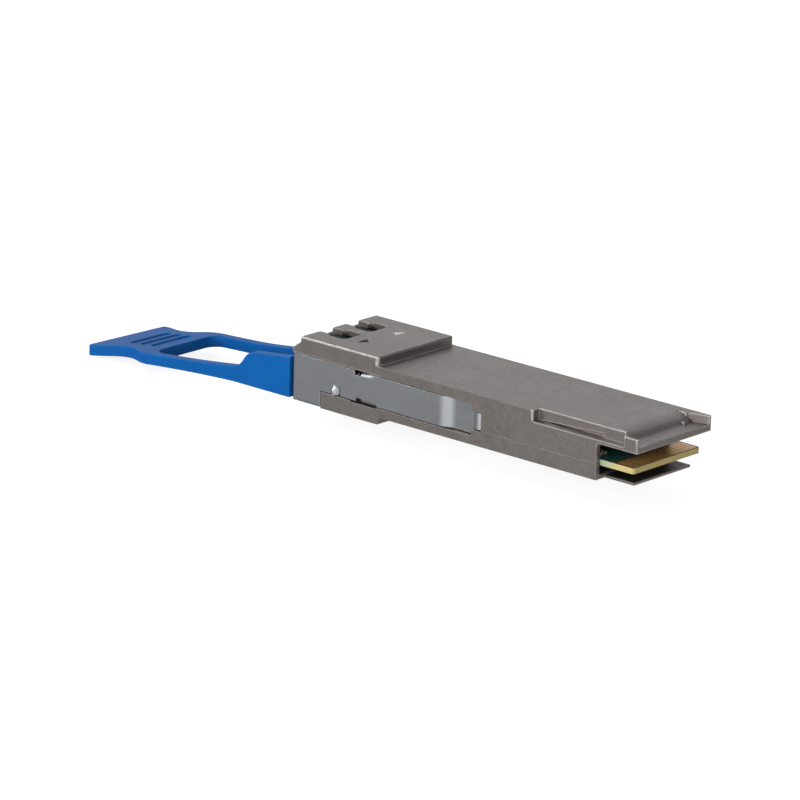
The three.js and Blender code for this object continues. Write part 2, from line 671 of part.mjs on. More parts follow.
/** Compression spring from the pocket's end wall to the slider's seat. */
function returnSpring(side) {
  const wire = new THREE.Shape();
  wire.absarc(0, 0, SPRING_WIRE, 0, 2 * Math.PI, false);
  const inset = SPRING_WIRE + SPRING_END_GAP;
  const curve = new CoilCurve(SPRING_X0 + inset, UPPER_TAB.x0 - inset, side * SPRING_Y, SPRING_Z,
    SPRING_RADIUS, SPRING_TURNS);
  const steps = SPRING_TURNS * SPRING_STEPS;
  return new THREE.ExtrudeGeometry(wire, { steps, extrudePath: curve, curveSegments: 3 });
}

// ---------------------------------------------------------------- pull tab

/** Plan outline of the tab on its outer edge, from the module to the flared grip end and back. */
function tabPlan() {
  const cornerX = TAB_END_X + TAB_END_CORNER;
  const easedHalf = TAB_END_HALF - TAB_END_CORNER;
  const shape = new THREE.Shape();
  shape.moveTo(TAB_START_X, -TAB_HALF);
  shape.lineTo(GRIP_INNER_X, -TAB_HALF);
  shape.bezierCurveTo(GRIP_INNER_X - FLARE_EASE, -TAB_HALF, TAB_WAIST_X + FLARE_EASE, -TAB_WAIST_HALF,
    TAB_WAIST_X, -TAB_WAIST_HALF);
  shape.bezierCurveTo(TAB_WAIST_X - FLARE_EASE, -TAB_WAIST_HALF, cornerX + FLARE_EASE, -easedHalf,
    cornerX, -TAB_END_HALF);
  shape.lineTo(TAB_END_X, -easedHalf);
  shape.lineTo(TAB_END_X, easedHalf);
  shape.lineTo(cornerX, TAB_END_HALF);
  shape.bezierCurveTo(cornerX + FLARE_EASE, easedHalf, TAB_WAIST_X - FLARE_EASE, TAB_WAIST_HALF,
    TAB_WAIST_X, TAB_WAIST_HALF);
  shape.bezierCurveTo(TAB_WAIST_X + FLARE_EASE, TAB_WAIST_HALF, GRIP_INNER_X - FLARE_EASE, TAB_HALF,
    GRIP_INNER_X, TAB_HALF);
  shape.lineTo(TAB_START_X, TAB_HALF);
  return shape;
}

/** Plan outline of the window between the legs, open towards the module. */
function tabWindow() {
  const half = TAB_HALF - TAB_LEG;
  const cornerX = GRIP_INNER_X + GRIP_CORNER;
  const shape = new THREE.Shape();
  shape.moveTo(TAB_START_X + PAST, half);
  shape.lineTo(cornerX, half);
  shape.absarc(cornerX, half - GRIP_CORNER, GRIP_CORNER, Math.PI / 2, Math.PI, false);
  shape.absarc(cornerX, -half + GRIP_CORNER, GRIP_CORNER, Math.PI, 1.5 * Math.PI, false);
  shape.lineTo(TAB_START_X + PAST, -half);
  return shape;
}

/** Side outline of the tab: tall cheeks at the module, then legs that fall gently to a thin grip. */
function tabSide() {
  const shape = new THREE.Shape();
  shape.moveTo(TAB_START_X, LEG_ROOT.bottom);
  shape.lineTo(TAB_START_X, CHEEK.frontTop);
  shape.lineTo(CHEEK.x, CHEEK.backTop);
  shape.quadraticCurveTo(CHEEK.x - CHEEK.corner, CHEEK.backTop, CHEEK.x - CHEEK.corner,
    CHEEK.backTop - CHEEK.corner);
  shape.quadraticCurveTo(CHEEK.x - 2 * CHEEK.corner, LEG_ROOT.top, LEG_ROOT.x, LEG_ROOT.top);
  shape.quadraticCurveTo(LEG_SAG.x, LEG_SAG.top, GRIP_ROOT.x, GRIP_ROOT.top);
  shape.quadraticCurveTo(GRIP_SAG.x, GRIP_SAG.top, TAB_END_X, GRIP_END.top);
  shape.lineTo(TAB_END_X, GRIP_END.bottom);
  shape.quadraticCurveTo(GRIP_SAG.x, GRIP_SAG.bottom, GRIP_ROOT.x, GRIP_ROOT.bottom);
  shape.quadraticCurveTo(LEG_SAG.x, LEG_SAG.bottom, LEG_ROOT.x, LEG_ROOT.bottom);
  return shape;
}

/** Groove between two ribs on top of the grip. */
function ribGroove(index) {
  const x = RIB.x + index * RIB.pitch;
  const surface = THREE.MathUtils.mapLinear(x, GRIP_ROOT.x, TAB_END_X, GRIP_ROOT.top, GRIP_END.top);
  return block(x - RIB.halfWidth, x + RIB.halfWidth, -RIB.halfLength, RIB.halfLength, surface - RIB.depth,
    surface + PAST);
}

function pullTab() {
  const reach = TAB_HALF + PAST;
  const body = planProfile(tabPlan(), -reach, reach).intersect(sideProfile(tabSide(), -reach, reach));
  const tangPockets = bothSides((s) => block(TANG.x0 - TANG_GAP, TAB_START_X + PAST,
    s * (TANG.y0 - TANG_GAP), s * (TANG.y1 + TANG_GAP), TANG.z0 - TANG_GAP, TANG.z1 + TANG_GAP));
  const grooves = Array.from({ length: RIB.count }, (_, i) => ribGroove(i));
  return cut(body, [planProfile(tabWindow(), -reach, reach), ...tangPockets, ...grooves]);
}

// ---------------------------------------------------------------- optics

/** Round cutter along X at a port's axis. */
function boreCutter(centreY, radius, x0, x1) {
  return turned([[0, x0], [radius, x0], [radius, x1], [0, x1]], centreY, PORT_AXIS_Z, PORT_SIDES);
}

/** Socket block for two fibre plugs, open at the top where their latches snap into the nose. */
function fibreReceptacle() {
  const front = RECEPTACLE.x0 - PAST;
  const body = block(RECEPTACLE.x0, RECEPTACLE.x1, -RECEPTACLE.half, RECEPTACLE.half, FLOOR, RECEPTACLE.top);
  const headX = LATCH_HEAD_X1 + LATCH_TAPER / 2;
  const ports = bothSides((s) => {
    const y = s * PORT_PITCH / 2;
    const slotHalf = LATCH_SLOT_HALF + LATCH_TAPER / 2;
    const top = RECEPTACLE.top + PAST;
    return [
      block(front, PORT_DEPTH_X, y - PORT_HALF, y + PORT_HALF, PORT_AXIS_Z - PORT_HALF,
        PORT_AXIS_Z + PORT_HALF),
      block(front, headX, y - slotHalf, y + slotHalf, PORT_AXIS_Z, top),
      block(LATCH_HEAD_X0, headX, y - LATCH_HEAD_HALF, y + LATCH_HEAD_HALF, ROOF_INSIDE, top),
      boreCutter(y, SLEEVE.flange + SLEEVE_GAP, PORT_DEPTH_X - PAST, RECEPTACLE.x1 + PAST),
    ];
  });
  return cut(body, ports.flat());
}

/** Barrel that holds the ceramic sleeve which centres a plug's ferrule. */
function opticalSleeve(centreY) {
  return turned([
    [SLEEVE.bore, SLEEVE.x0],
    [SLEEVE.radius - SLEEVE_CHAMFER, SLEEVE.x0],
    [SLEEVE.radius, SLEEVE.x0 + SLEEVE_CHAMFER],
    [SLEEVE.radius, SLEEVE.flangeX],
    [SLEEVE.flange, SLEEVE.flangeX],
    [SLEEVE.flange, SLEEVE.x1],
    [SLEEVE.bore, SLEEVE.x1],
    [SLEEVE.bore, SLEEVE.x0],
  ], centreY, PORT_AXIS_Z, PORT_SIDES);
}

function emiGasket() {
  const plate = block(RECEPTACLE.x1, GASKET.x1, -RECEPTACLE.half, RECEPTACLE.half, FLOOR, ROOF_INSIDE);
  return cut(plate, bothSides((s) => (
    boreCutter(s * PORT_PITCH / 2, GASKET.hole, RECEPTACLE.x1 - PAST, GASKET.x1 + PAST)
  )));
}

/** Hermetic box of a light source or detector, with its coupling ring and its solder terrace. */
function opticalSubassembly(centreY) {
  const overlap = 0.2;
  const ring = boreCutter(centreY, OPTIC.ringRadius, OPTIC.ringX, OPTIC.x0 + overlap);
  const body = block(OPTIC.x0, OPTIC.x1, centreY - OPTIC.half, centreY + OPTIC.half, FLOOR, OPTIC.top);
  const terrace = block(OPTIC.x1 - overlap, TERRACE.x1, centreY - TERRACE.half, centreY + TERRACE.half,
    TERRACE.bottom, TERRACE.top);
  return join([ring, body, terrace]);
}

/** Spring-sheet bridge that presses both boxes into the lower shell. */
function retainerClamp() {
  const top = CLAMP.bottom + CLAMP.sheet;
  const plate = block(CLAMP.x0, CLAMP.x1, -CLAMP.half, CLAMP.half, CLAMP.bottom, top);
  const legs = bothSides((s) => block(CLAMP.x0, CLAMP.x1, s * (CLAMP.half - CLAMP.sheet), s * CLAMP.half,
    FLOOR, top));
  return join([plate, ...legs]);
}

/** Ribbon circuit from a box's terrace down to the board, as one bent strip. */
function flexCircuit(centreY) {
  const path = [
    [FLEX.x0, TERRACE.top + FLEX.gap],
    [FLEX.bendX0, TERRACE.top + FLEX.gap],
    [FLEX.bendX1, BOARD_TOP + FLEX.gap],
    [FLEX.x1, BOARD_TOP + FLEX.gap],
  ];
  const top = path.map(([x, z]) => [x, z + FLEX.thick]).reverse();
  return sideProfile(points([...path, ...top]), centreY - FLEX.half, centreY + FLEX.half);
}

// ---------------------------------------------------------------- electronics

/** Board with a narrow neck between the rear screws, and a chamfered card edge. */
function mainBoard() {
  const outline = [
    [BOARD_END_X, -BOARD_HALF + BOARD_CORNER],
    [BOARD_END_X, BOARD_HALF - BOARD_CORNER],
    [BOARD_END_X - BOARD_CORNER, BOARD_HALF],
    [BOARD_NECK.x1, BOARD_HALF],
    [BOARD_NECK.x1 - BOARD_NECK.ease, BOARD_NECK.half],
    [BOARD_NECK.x0, BOARD_NECK.half],
    [BOARD_NECK.x0 - BOARD_NECK.ease / 2, BOARD_FRONT_HALF],
    [BOARD_FRONT_X, BOARD_FRONT_HALF],
  ];
  const mirrored = outline.slice(2).map(([x, y]) => [x, -y]).reverse();
  return planProfile(points([...outline, ...mirrored]), BOARD_BOTTOM, BOARD_TOP);
}

/** Row of card-edge contacts, tied by a thin bar at their inner ends. */
function contactRow(z0) {
  const z1 = z0 + CONTACT_THICKNESS;
  const half = CONTACT_WIDTH / 2;
  const last = CONTACT_PITCH * (CONTACTS - 1) / 2;
  const pads = Array.from({ length: CONTACTS }, (_, i) => {
    const y = i * CONTACT_PITCH - last;
    return block(CONTACT_X0, CONTACT_X1, y - half, y + half, z0, z1);
  });
  const bar = block(CONTACT_X0 - CONTACT_BAR, CONTACT_X0 + CONTACT_BAR, -last - half, last + half, z0, z1);
  return join([bar, ...pads]);
}

/** Chip package on the board, with a small pin-one dimple. */
function chip(x, y, length, width, height) {
  const dimple = { inset: 0.6, depth: 0.1, radius: 0.25 };
  const top = BOARD_TOP + height;
  const body = block(x - length / 2, x + length / 2, y - width / 2, y + width / 2, BOARD_TOP, top);
  return body.subtract(post(x - length / 2 + dimple.inset, y - width / 2 + dimple.inset, top - dimple.depth,
    top + PAST, dimple.radius));
}

/** Two-terminal part whose end caps stand a little proud of its body. */
function twoTerminal(x, y) {
  const size = { length: 1.0, width: 0.5, height: 0.5, cap: 0.22, proud: 0.03 };
  const half = size.width / 2;
  const top = BOARD_TOP + size.height;
  const reach = (size.length - size.cap) / 2;
  const core = block(x - reach, x + reach, y - half + size.proud, y + half - size.proud,
    BOARD_TOP + size.proud, top - size.proud);
  const caps = bothSides((s) => block(x + s * reach - size.cap / 2, x + s * reach + size.cap / 2, y - half,
    y + half, BOARD_TOP, top));
  return join([core, ...caps]);
}

/** Moulded power inductor with cut corners. */
function canInductor(x, y) {
  const half = 1.3;
  const side = half - 0.5;
  const height = 1.2;
  return planProfile(points([
    [x - side, y - half], [x + side, y - half], [x + half, y - side], [x + half, y + side],
    [x + side, y + half], [x - side, y + half], [x - half, y + side], [x - half, y - side],
  ]), BOARD_TOP, BOARD_TOP + height);
}

// ---------------------------------------------------------------- assembly

const FINISH = {
  housing: { color: 0x827d76, roughness: 0.42, metalness: 0.9 },
  sheet: { color: 0x8a8f96, roughness: 0.3, metalness: 0.95 },
  spring: { color: 0xb8bcc0, roughness: 0.25, metalness: 1.0 },
  tab: { color: 0x1165b8, roughness: 0.55, metalness: 0.0 },
  receptacle: { color: 0x39444f, roughness: 0.6, metalness: 0.1 },
  sleeve: { color: 0xe8e6de, roughness: 0.3, metalness: 0.0 },
  gasket: { color: 0x3a3a3c, roughness: 0.8, metalness: 0.1 },
  gold: { color: 0xc9a227, roughness: 0.3, metalness: 0.9 },
  clamp: { color: 0xa9adb2, roughness: 0.35, metalness: 0.95 },
  flex: { color: 0xb5651d, roughness: 0.5, metalness: 0.0 },
  board: { color: 0x0f6a45, roughness: 0.45, metalness: 0.0 },
  chip: { color: 0x1c1d20, roughness: 0.5, metalness: 0.0 },
  ceramic: { color: 0xb9a58a, roughness: 0.5, metalness: 0.1 },
  pad: { color: 0x8fa3b5, roughness: 0.9, metalness: 0.0 },
  screw: { color: 0x4a4b4e, roughness: 0.35, metalness: 0.95 },
  label: { color: 0xf1f1ee, roughness: 0.6, metalness: 0.0 },
};

const transceiver = new THREE.Group();

function place(name, shape, finish) {
  const geometry = shape.isBufferGeometry ? shape : geometryOf(shape);
  const mesh = new THREE.Mesh(geometry, new THREE.MeshStandardMaterial(FINISH[finish]));
  mesh.name = name;
  transceiver.add(mesh);
}

const TRANSMIT_Y = -PORT_PITCH / 2;
const RECEIVE_Y = PORT_PITCH / 2;
const RETIMER = { x: -32.5, size: 7.5, height: 1.0, padHalf: 3.5 };
const OPTIC_PAD = { x0: -51.6, x1: -46.0, near: 0.5, far: 5.8 };
const CAPACITORS = [[-11.6, -6.4], [-11.6, -5.2], [-9.4, -6.8], [-9.4, -5.6], [-9.4, 5.6], [-9.4, 6.8]];

/** Soft pad between a box's lid and the roof. */
function opticPad(side) {
  const { x0, x1, near, far } = OPTIC_PAD;
  return block(x0, x1, side * near, side * far, OPTIC.top, ROOF_INSIDE);
}

/** Soft pad between the retimer's lid and the roof's pedestal. */
function retimerPad() {
  const { x, padHalf, height } = RETIMER;
  return block(x - padHalf, x + padHalf, -padHalf, padHalf, BOARD_TOP + height, PEDESTAL.bottom);
}

place('upper_shell', upperShell(), 'housing');
place('lower_shell', lowerShell(), 'housing');
place('latch_slider', latchSlider(), 'sheet');
place('pull_tab', pullTab(), 'tab');
place('return_spring_left', returnSpring(-1), 'spring');
place('return_spring_right', returnSpring(1), 'spring');
SCREWS.forEach((screw, i) => place(`shell_screw_${i + 1}`, shellScrew(screw), 'screw'));
place('blank_label', block(LABEL.x0, LABEL.x1, -LABEL.half, LABEL.half, LABEL.bottom, LABEL.top), 'label');

place('fibre_receptacle', fibreReceptacle(), 'receptacle');
place('transmit_sleeve', opticalSleeve(TRANSMIT_Y), 'sleeve');
place('receive_sleeve', opticalSleeve(RECEIVE_Y), 'sleeve');
place('emi_gasket', emiGasket(), 'gasket');
place('transmitter_subassembly', opticalSubassembly(TRANSMIT_Y), 'gold');
place('receiver_subassembly', opticalSubassembly(RECEIVE_Y), 'gold');
place('retainer_clamp', retainerClamp(), 'clamp');
place('transmitter_flex', flexCircuit(TRANSMIT_Y), 'flex');
place('receiver_flex', flexCircuit(RECEIVE_Y), 'flex');
place('transmitter_thermal_pad', opticPad(-1), 'pad');
place('receiver_thermal_pad', opticPad(1), 'pad');

place('main_board', mainBoard(), 'board');
place('edge_contacts_top', contactRow(BOARD_TOP), 'gold');
place('edge_contacts_bottom', contactRow(BOARD_BOTTOM - CONTACT_THICKNESS), 'gold');
place('retimer_chip', chip(RETIMER.x, 0, RETIMER.size, RETIMER.size, RETIMER.height), 'chip');
place('retimer_thermal_pad', retimerPad(), 'pad');
place('laser_driver_chip', chip(-38.2, TRANSMIT_Y, 3.2, 4.0, 0.7), 'chip');
place('receive_amplifier_chip', chip(-38.2, RECEIVE_Y, 3.2, 4.0, 0.7), 'chip');
place('microcontroller_chip', chip(-18.5, 2.4, 5.0, 5.0, 0.85), 'chip');
place('power_converter_chip', chip(-19.5, -3.6, 3.0, 3.0, 0.8), 'chip');
place('clock_oscillator', chip(-25.4, 2.2, 2.5, 2.0, 0.7), 'ceramic');
place('power_inductor_1', canInductor(-25.3, -1.6), 'chip');
place('power_inductor_2', canInductor(-15.0, -4.4), 'chip');
CAPACITORS.forEach(([x, y], i) => place(`filter_capacitor_${i + 1}`, twoTerminal(x, y), 'ceramic'));

transceiver.position.x = HOOD_X;

export default transceiver;
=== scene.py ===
"""Optical transceiver module: the looks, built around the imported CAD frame.

Lengths are in millimetres. Shapes are drawn with x = 0 at the hood's rear edge, as in the CAD source,
and in_frame() moves them into the row frame and turns them into metres.
Azimuth 0 looks along +Y; the lights and the camera are placed by azimuth and elevation.
"""
import json
import math

import bmesh
import bpy
from mathutils import Matrix, Vector


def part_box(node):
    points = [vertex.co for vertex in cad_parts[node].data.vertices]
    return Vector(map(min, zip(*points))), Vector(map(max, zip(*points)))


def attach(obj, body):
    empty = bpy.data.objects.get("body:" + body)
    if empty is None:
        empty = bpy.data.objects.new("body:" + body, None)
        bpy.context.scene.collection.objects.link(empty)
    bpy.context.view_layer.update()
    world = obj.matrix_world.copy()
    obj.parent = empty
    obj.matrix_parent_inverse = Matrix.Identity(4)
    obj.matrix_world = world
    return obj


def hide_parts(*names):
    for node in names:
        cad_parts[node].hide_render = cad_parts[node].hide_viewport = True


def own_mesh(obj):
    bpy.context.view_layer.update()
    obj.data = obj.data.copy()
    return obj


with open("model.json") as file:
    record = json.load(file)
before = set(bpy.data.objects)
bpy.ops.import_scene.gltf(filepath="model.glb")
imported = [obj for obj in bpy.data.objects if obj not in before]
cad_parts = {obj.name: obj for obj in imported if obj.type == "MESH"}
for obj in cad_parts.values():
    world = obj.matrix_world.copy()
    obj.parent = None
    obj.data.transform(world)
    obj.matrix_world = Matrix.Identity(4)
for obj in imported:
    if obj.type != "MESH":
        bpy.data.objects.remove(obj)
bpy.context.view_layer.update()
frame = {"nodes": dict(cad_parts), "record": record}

MM = 0.001

# Housing, from the frame
HOUSING_LO, HOUSING_HI = [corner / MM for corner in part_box("upper_shell")]
HOOD_X = HOUSING_HI.x
NOSE_FRONT_X = HOUSING_LO.x - HOOD_X
NOSE_TOP = HOUSING_HI.z
LOWEST = min(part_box(name)[0].z for name in frame["nodes"]) / MM

# Latch slider: sheet size from the frame, bends as in the CAD
SLIDER_LO, SLIDER_HI = [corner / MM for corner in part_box("latch_slider")]
SLIDER_Y = SLIDER_HI.y
SLIDER_BOTTOM = SLIDER_LO.z
SLIDER_FRONT_X = NOSE_FRONT_X - 0.15
TONGUE_END_X = SLIDER_HI.x - HOOD_X
SHEET = 0.5
CHEEK_BACK_X = -65.9
ARM_TOP_FRONT = 6.97
ARM_TOP_BACK = 6.55
ARM_LOW_FRONT = 1.75
ARM_LOW_BACK = 1.5
JOG_X0 = -40.0
JOG_X1 = -38.0
JOG_DEPTH = 0.85
TIP_X = -33.8
TONGUE_Z0 = 2.6
TONGUE_Z1 = 5.4
CURL = 0.75
FRONT_BEND = 0.6
FRONT_TURN = 0.8
STRAP_BEND = 0.56
STRAP_FRONT_X = -71.0
FOLD_BEND = 0.62
UPPER_TAB = {"x0": -57.3, "x1": -54.6, "edge": 6.55}
LOWER_TAB = {"x0": -57.1, "x1": -53.9, "edge": 1.62}
TAB_REACH = 1.3
LUG = {"x0": -63.3, "x1": -62.0, "top": 3.1, "slit": 0.4, "rise": 0.4, "fall": 0.75}
UPPER_RELIEF = {"x": -58.6, "z": 6.0}
LOWER_RELIEF = {"x": -58.2, "z": 2.3}
FOLD_STEPS = 6
FOLD_EASE = 0.25

# Folds of the sheet: from x, to x, height where the bend starts, up or down, radius of the outer face
FOLDS = [
    (STRAP_FRONT_X, CHEEK_BACK_X, SLIDER_BOTTOM + STRAP_BEND, -1, STRAP_BEND),
    (LOWER_TAB["x0"], LOWER_TAB["x1"], LOWER_TAB["edge"] + FOLD_BEND, -1, FOLD_BEND),
    (UPPER_TAB["x0"], UPPER_TAB["x1"], UPPER_TAB["edge"] - FOLD_BEND, 1, FOLD_BEND),
]

# Pull tab: ends and widths from the frame
TAB_LO, TAB_HI = [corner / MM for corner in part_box("pull_tab")]
TAB_START_X = TAB_HI.x - HOOD_X
TAB_END_X = TAB_LO.x - HOOD_X
TAB_HALF = TAB_HI.y
TAB_LEG = 1.75
TAB_WAIST_X = -111.6
TAB_WAIST_HALF = 7.1
TAB_END_HALF = 9.1
TAB_END_CORNER = 0.5
FLARE_EASE = 2.6
GRIP_INNER_X = -105.0
GRIP_CORNER = 2.2
CHEEK = {"x": -79.0, "front_top": TAB_HI.z, "back_top": 5.2, "shoulder_x": -82.9, "shoulder": 3.6}
LEG_ROOT = {"x": -85.2, "top": 1.78, "bottom": -0.95}
LEG_SAG = {"x": -94.0, "top": 0.55, "bottom": -1.3}
GRIP_ROOT = {"x": -104.3, "top": -0.3, "bottom": -2.25}
GRIP_SAG = {"x": -111.0, "top": -1.0, "bottom": -2.95}
GRIP_END = {"top": -2.15, "bottom": TAB_LO.z}
RIB = {"x": -108.0, "pitch": -2.4, "count": 3, "half_width": 0.7, "half_length": 4.6, "depth": 0.2}
TAB_TWIST = {"far_drop": 0.55, "near_lift": 0.4, "root_x": -107.5, "ease": 14.0}

# Return springs
SPRING_X0 = -64.5
SPRING_X1 = UPPER_TAB["x0"]
SPRING_Y = 7.65
SPRING_Z = 5.75
SPRING_RADIUS = 0.68
SPRING_WIRE = 0.15
SPRING_TURNS = 8
RINGS_PER_TURN = 28
WIRE_SIDES = 10

# Card edge
CONTACTS = 19
CONTACT_PITCH = 0.8
CONTACT_WIDTH = 0.54
CONTACT_X0 = -5.2
CONTACT_X1 = -1.5

# Camera: a long lens, as the almost parallel edges show
CAMERA_AZIMUTH = 41.25
CAMERA_ELEVATION = 16.86
CAMERA_ROLL = 1.59
CAMERA_LENS = 237.7
CAMERA_DISTANCE = 818.5
CAMERA_AIM = Vector((-34.16, -25.66, 10.66))

# Plain stretch of the top between the nose and the side step, whose edges get less painted highlight and
# wear
PLAIN_TOP = {"x": -37.2, "half": 15.2, "fade": 1.0}

# Two marks engraved in the nose's top: the far one filled white, the near one painted near black as the
# shade in its engraving
MARK = {"x": -61.0, "y": 3.8, "reach": 1.9, "depth": 0.15}

# Painted shade: a black patch on the lower tongue, under the card edge, for the card's shadow and its dark
# reflection in the tongue
CARD_SHADE = {"x0": -7.95, "x1": -2.4, "half": 6.6, "z": 0.45}

# Housing colours, reused by both shells
NICKEL = (0.308, 0.279, 0.261)
NICKEL_DARK = (0.262, 0.237, 0.221)


# ---------------------------------------------------------------- node helpers

class Nodes:
    """A material's node tree with short calls for the nodes used here."""

    def __init__(self, name):
        self.material = bpy.data.materials.new(name)
        self.material.use_nodes = True
        self.tree = self.material.node_tree
        self.shader = self.tree.nodes["Principled BSDF"]
        self.coordinate = self.add("ShaderNodeTexCoord").outputs["Object"]

    def add(self, kind, **settings):
        node = self.tree.nodes.new(kind)
        for key, value in settings.items():
            setattr(node, key, value)
        return node

    def link(self, value, socket):
        """Joins an output to a socket, or sets the socket to a plain value."""
        if isinstance(value, bpy.types.NodeSocket):
            self.tree.links.new(value, socket)
        else:
            socket.default_value = value

    def stretched(self, scale):
        """Object coordinates in millimetres, stretched along each axis."""
        node = self.add("ShaderNodeMapping")
        self.link(self.coordinate, node.inputs["Vector"])
        node.inputs["Scale"].default_value = [part / MM for part in scale]
        return node.outputs["Vector"]

    def noise(self, scale, detail=3.0, roughness=0.55):
        node = self.add("ShaderNodeTexNoise")
        self.link(self.stretched(scale), node.inputs["Vector"])
        node.inputs["Scale"].default_value = 1.0
        node.inputs["Detail"].default_value = detail
        node.inputs["Roughness"].default_value = roughness
        return node.outputs["Fac"]

    def cells(self, scale):
        node = self.add("ShaderNodeTexVoronoi")
        self.link(self.stretched(scale), node.inputs["Vector"])
        node.inputs["Scale"].default_value = 1.0
        return node.outputs["Distance"]

    def ramp(self, value, low, high, at_low=0.0, at_high=1.0):
        """value mapped from low..high to at_low..at_high, clamped."""
        node = self.add("ShaderNodeMapRange")
        self.link(value, node.inputs["Value"])
        node.inputs["From Min"].default_value = low
        node.inputs["From Max"].default_value = high
        node.inputs["To Min"].default_value = at_low
        node.inputs["To Max"].default_value = at_high
        return node.outputs["Result"]

    def math(self, operation, a, b):
        node = self.add("ShaderNodeMath", operation=operation)
        self.link(a, node.inputs[0])
        self.link(b, node.inputs[1])
        return node.outputs["Value"]

    def mix(self, factor, a, b):
        """Colour mix; a and b are (r, g, b) or sockets."""
        node = self.add("ShaderNodeMix", data_type="RGBA")
        self.link(factor, node.inputs["Factor"])
        for value, socket in ((a, node.inputs["A"]), (b, node.inputs["B"])):
            self.link(value if isinstance(value, bpy.types.NodeSocket) else (*value, 1.0), socket)
        return node.outputs["Result"]

    def edges(self, radius, full=0.6):
        """1 on outer edges, fading to 0 at the given distance from them."""
        inside = self.add("ShaderNodeAmbientOcclusion", samples=6, inside=True, only_local=True)
        inside.inputs["Distance"].default_value = radius * MM
        return self.ramp(inside.outputs["AO"], 0.95, full)

    def near(self, value, centre, reach):
        """1 where value is within reach of centre."""
        node = self.add("ShaderNodeMath", operation="COMPARE")
        self.link(value, node.inputs[0])
        node.inputs[1].default_value = centre
        node.inputs[2].default_value = reach
        return node.outputs["Value"]

    def both(self, *masks):
        """Product of masks."""
        result = masks[0]
        for mask in masks[1:]:
            result = self.math("MULTIPLY", result, mask)
        return result

    def place(self, axis):
        """Object coordinate along one axis, in millimetres."""
        node = self.add("ShaderNodeSeparateXYZ")
        self.link(self.stretched((1, 1, 1)), node.inputs["Vector"])
        return node.outputs[axis]

    def facing(self, axis):
        """Geometry normal's part along one axis."""
        geometry = self.add("ShaderNodeNewGeometry")
        node = self.add("ShaderNodeSeparateXYZ")
        self.link(geometry.outputs["Normal"], node.inputs["Vector"])
        return node.outputs[axis]

    def bump(self, height, distance, strength=1.0, under=None):
        node = self.add("ShaderNodeBump")
        self.link(height, node.inputs["Height"])
        node.inputs["Distance"].default_value = distance * MM
        node.inputs["Strength"].default_value = strength
        if under is not None:
            self.link(under, node.inputs["Normal"])
        return node.outputs["Normal"]

    def finish(self, color, roughness, metallic=0.0, normal=None, **extra):
        shader = self.shader.inputs
        is_socket = isinstance(color, bpy.types.NodeSocket)
        self.link(color if is_socket else (*color, 1.0), shader["Base Color"])
        self.link(roughness, shader["Roughness"])
        self.link(metallic, shader["Metallic"])
        if normal is not None:
            self.link(normal, shader["Normal"])
        for key, value in extra.items():
            self.link(value, shader[key.replace("_", " ")])
        return self.material


def tint(color, factor):
    """A colour made lighter or darker by a factor."""
    return tuple(channel * factor for channel in color)


# ---------------------------------------------------------------- materials

def nickel_casting():
    """Satin nickel over a zinc casting: mottled, finely pitted, with painted highlights on its upper edges,
    partly edge wear.
    """
    n = Nodes("nickel_casting")
    cloud = n.noise((0.11, 0.11, 0.11), detail=4)
    mottle = n.noise((0.9, 0.9, 0.9), detail=5, roughness=0.7)
    grain = n.noise((9, 9, 9), detail=3)
    base = n.mix(n.ramp(cloud, 0.35, 0.65), NICKEL_DARK, NICKEL)
    base = n.mix(n.ramp(mottle, 0.35, 0.7, 0.0, 0.35), base, tint(NICKEL, 0.78))
    speckle = n.noise((3.2, 3.2, 3.2), detail=2, roughness=0.6)
    base = n.mix(n.ramp(speckle, 0.38, 0.62, 0.0, 0.42), base, tint(NICKEL, 0.62))
    from_middle = n.math("ABSOLUTE", n.math("SUBTRACT", n.place("X"), PLAIN_TOP["x"] + HOOD_X), 0.0)
    across = n.math("ABSOLUTE", n.place("Y"), 0.0)
    # Painted highlights, partly edge wear: the outer upper edges are lightened, less on the plain top
    # stretch.
    edge_highlight_and_wear = n.both(n.edges(0.28),
                    n.ramp(from_middle, PLAIN_TOP["half"], PLAIN_TOP["half"] + PLAIN_TOP["fade"], 0.12, 0.8),
                    n.ramp(n.place("Z"), 5.2, 5.9),
                    n.ramp(across, 6.2, 7.2, 0.35, 1.0))
    base = n.mix(edge_highlight_and_wear, base, (0.72, 0.70, 0.67))
    engraved = n.both(n.near(n.place("Z"), NOSE_TOP - MARK["depth"], 0.04),
                      n.near(n.place("X"), MARK["x"] + HOOD_X, MARK["reach"]))
    # The near mark is painted near black: painted shade in its engraving.
    shaded_mark = n.both(engraved, n.near(n.place("Y"), -MARK["y"], MARK["reach"]))
    white_mark = n.both(engraved, n.near(n.place("Y"), MARK["y"], MARK["reach"]))
    base = n.mix(shaded_mark, n.mix(white_mark, base, (0.9, 0.9, 0.88)), (0.02, 0.018, 0.016))
    # Painted shade: a black, non-metal patch on the tongue top, under the card.
    card_shade_middle = (CARD_SHADE["x0"] + CARD_SHADE["x1"]) / 2 + HOOD_X
    card_shade_reach = (CARD_SHADE["x1"] - CARD_SHADE["x0"]) / 2
    card_shade = n.both(n.near(n.place("Z"), CARD_SHADE["z"], 0.03),
                  n.near(n.place("Y"), 0.0, CARD_SHADE["half"]),
                  n.near(n.place("X"), card_shade_middle, card_shade_reach))
    base = n.mix(card_shade, base, (0.02, 0.02, 0.018))
    # No metal where the white fill and the painted shade patch lie.
    white_fill_and_card_shade = n.math("MAXIMUM", card_shade, white_mark)
    bare = n.math("SUBTRACT", 0.86, n.math("MULTIPLY", white_fill_and_card_shade, 0.86))
    rough = n.ramp(mottle, 0.3, 0.7, 0.38, 0.52)
    normal = n.bump(grain, 0.006, under=n.bump(n.ramp(mottle, 0.3, 0.8), 0.012))
    return n.finish(base, rough, bare, normal)


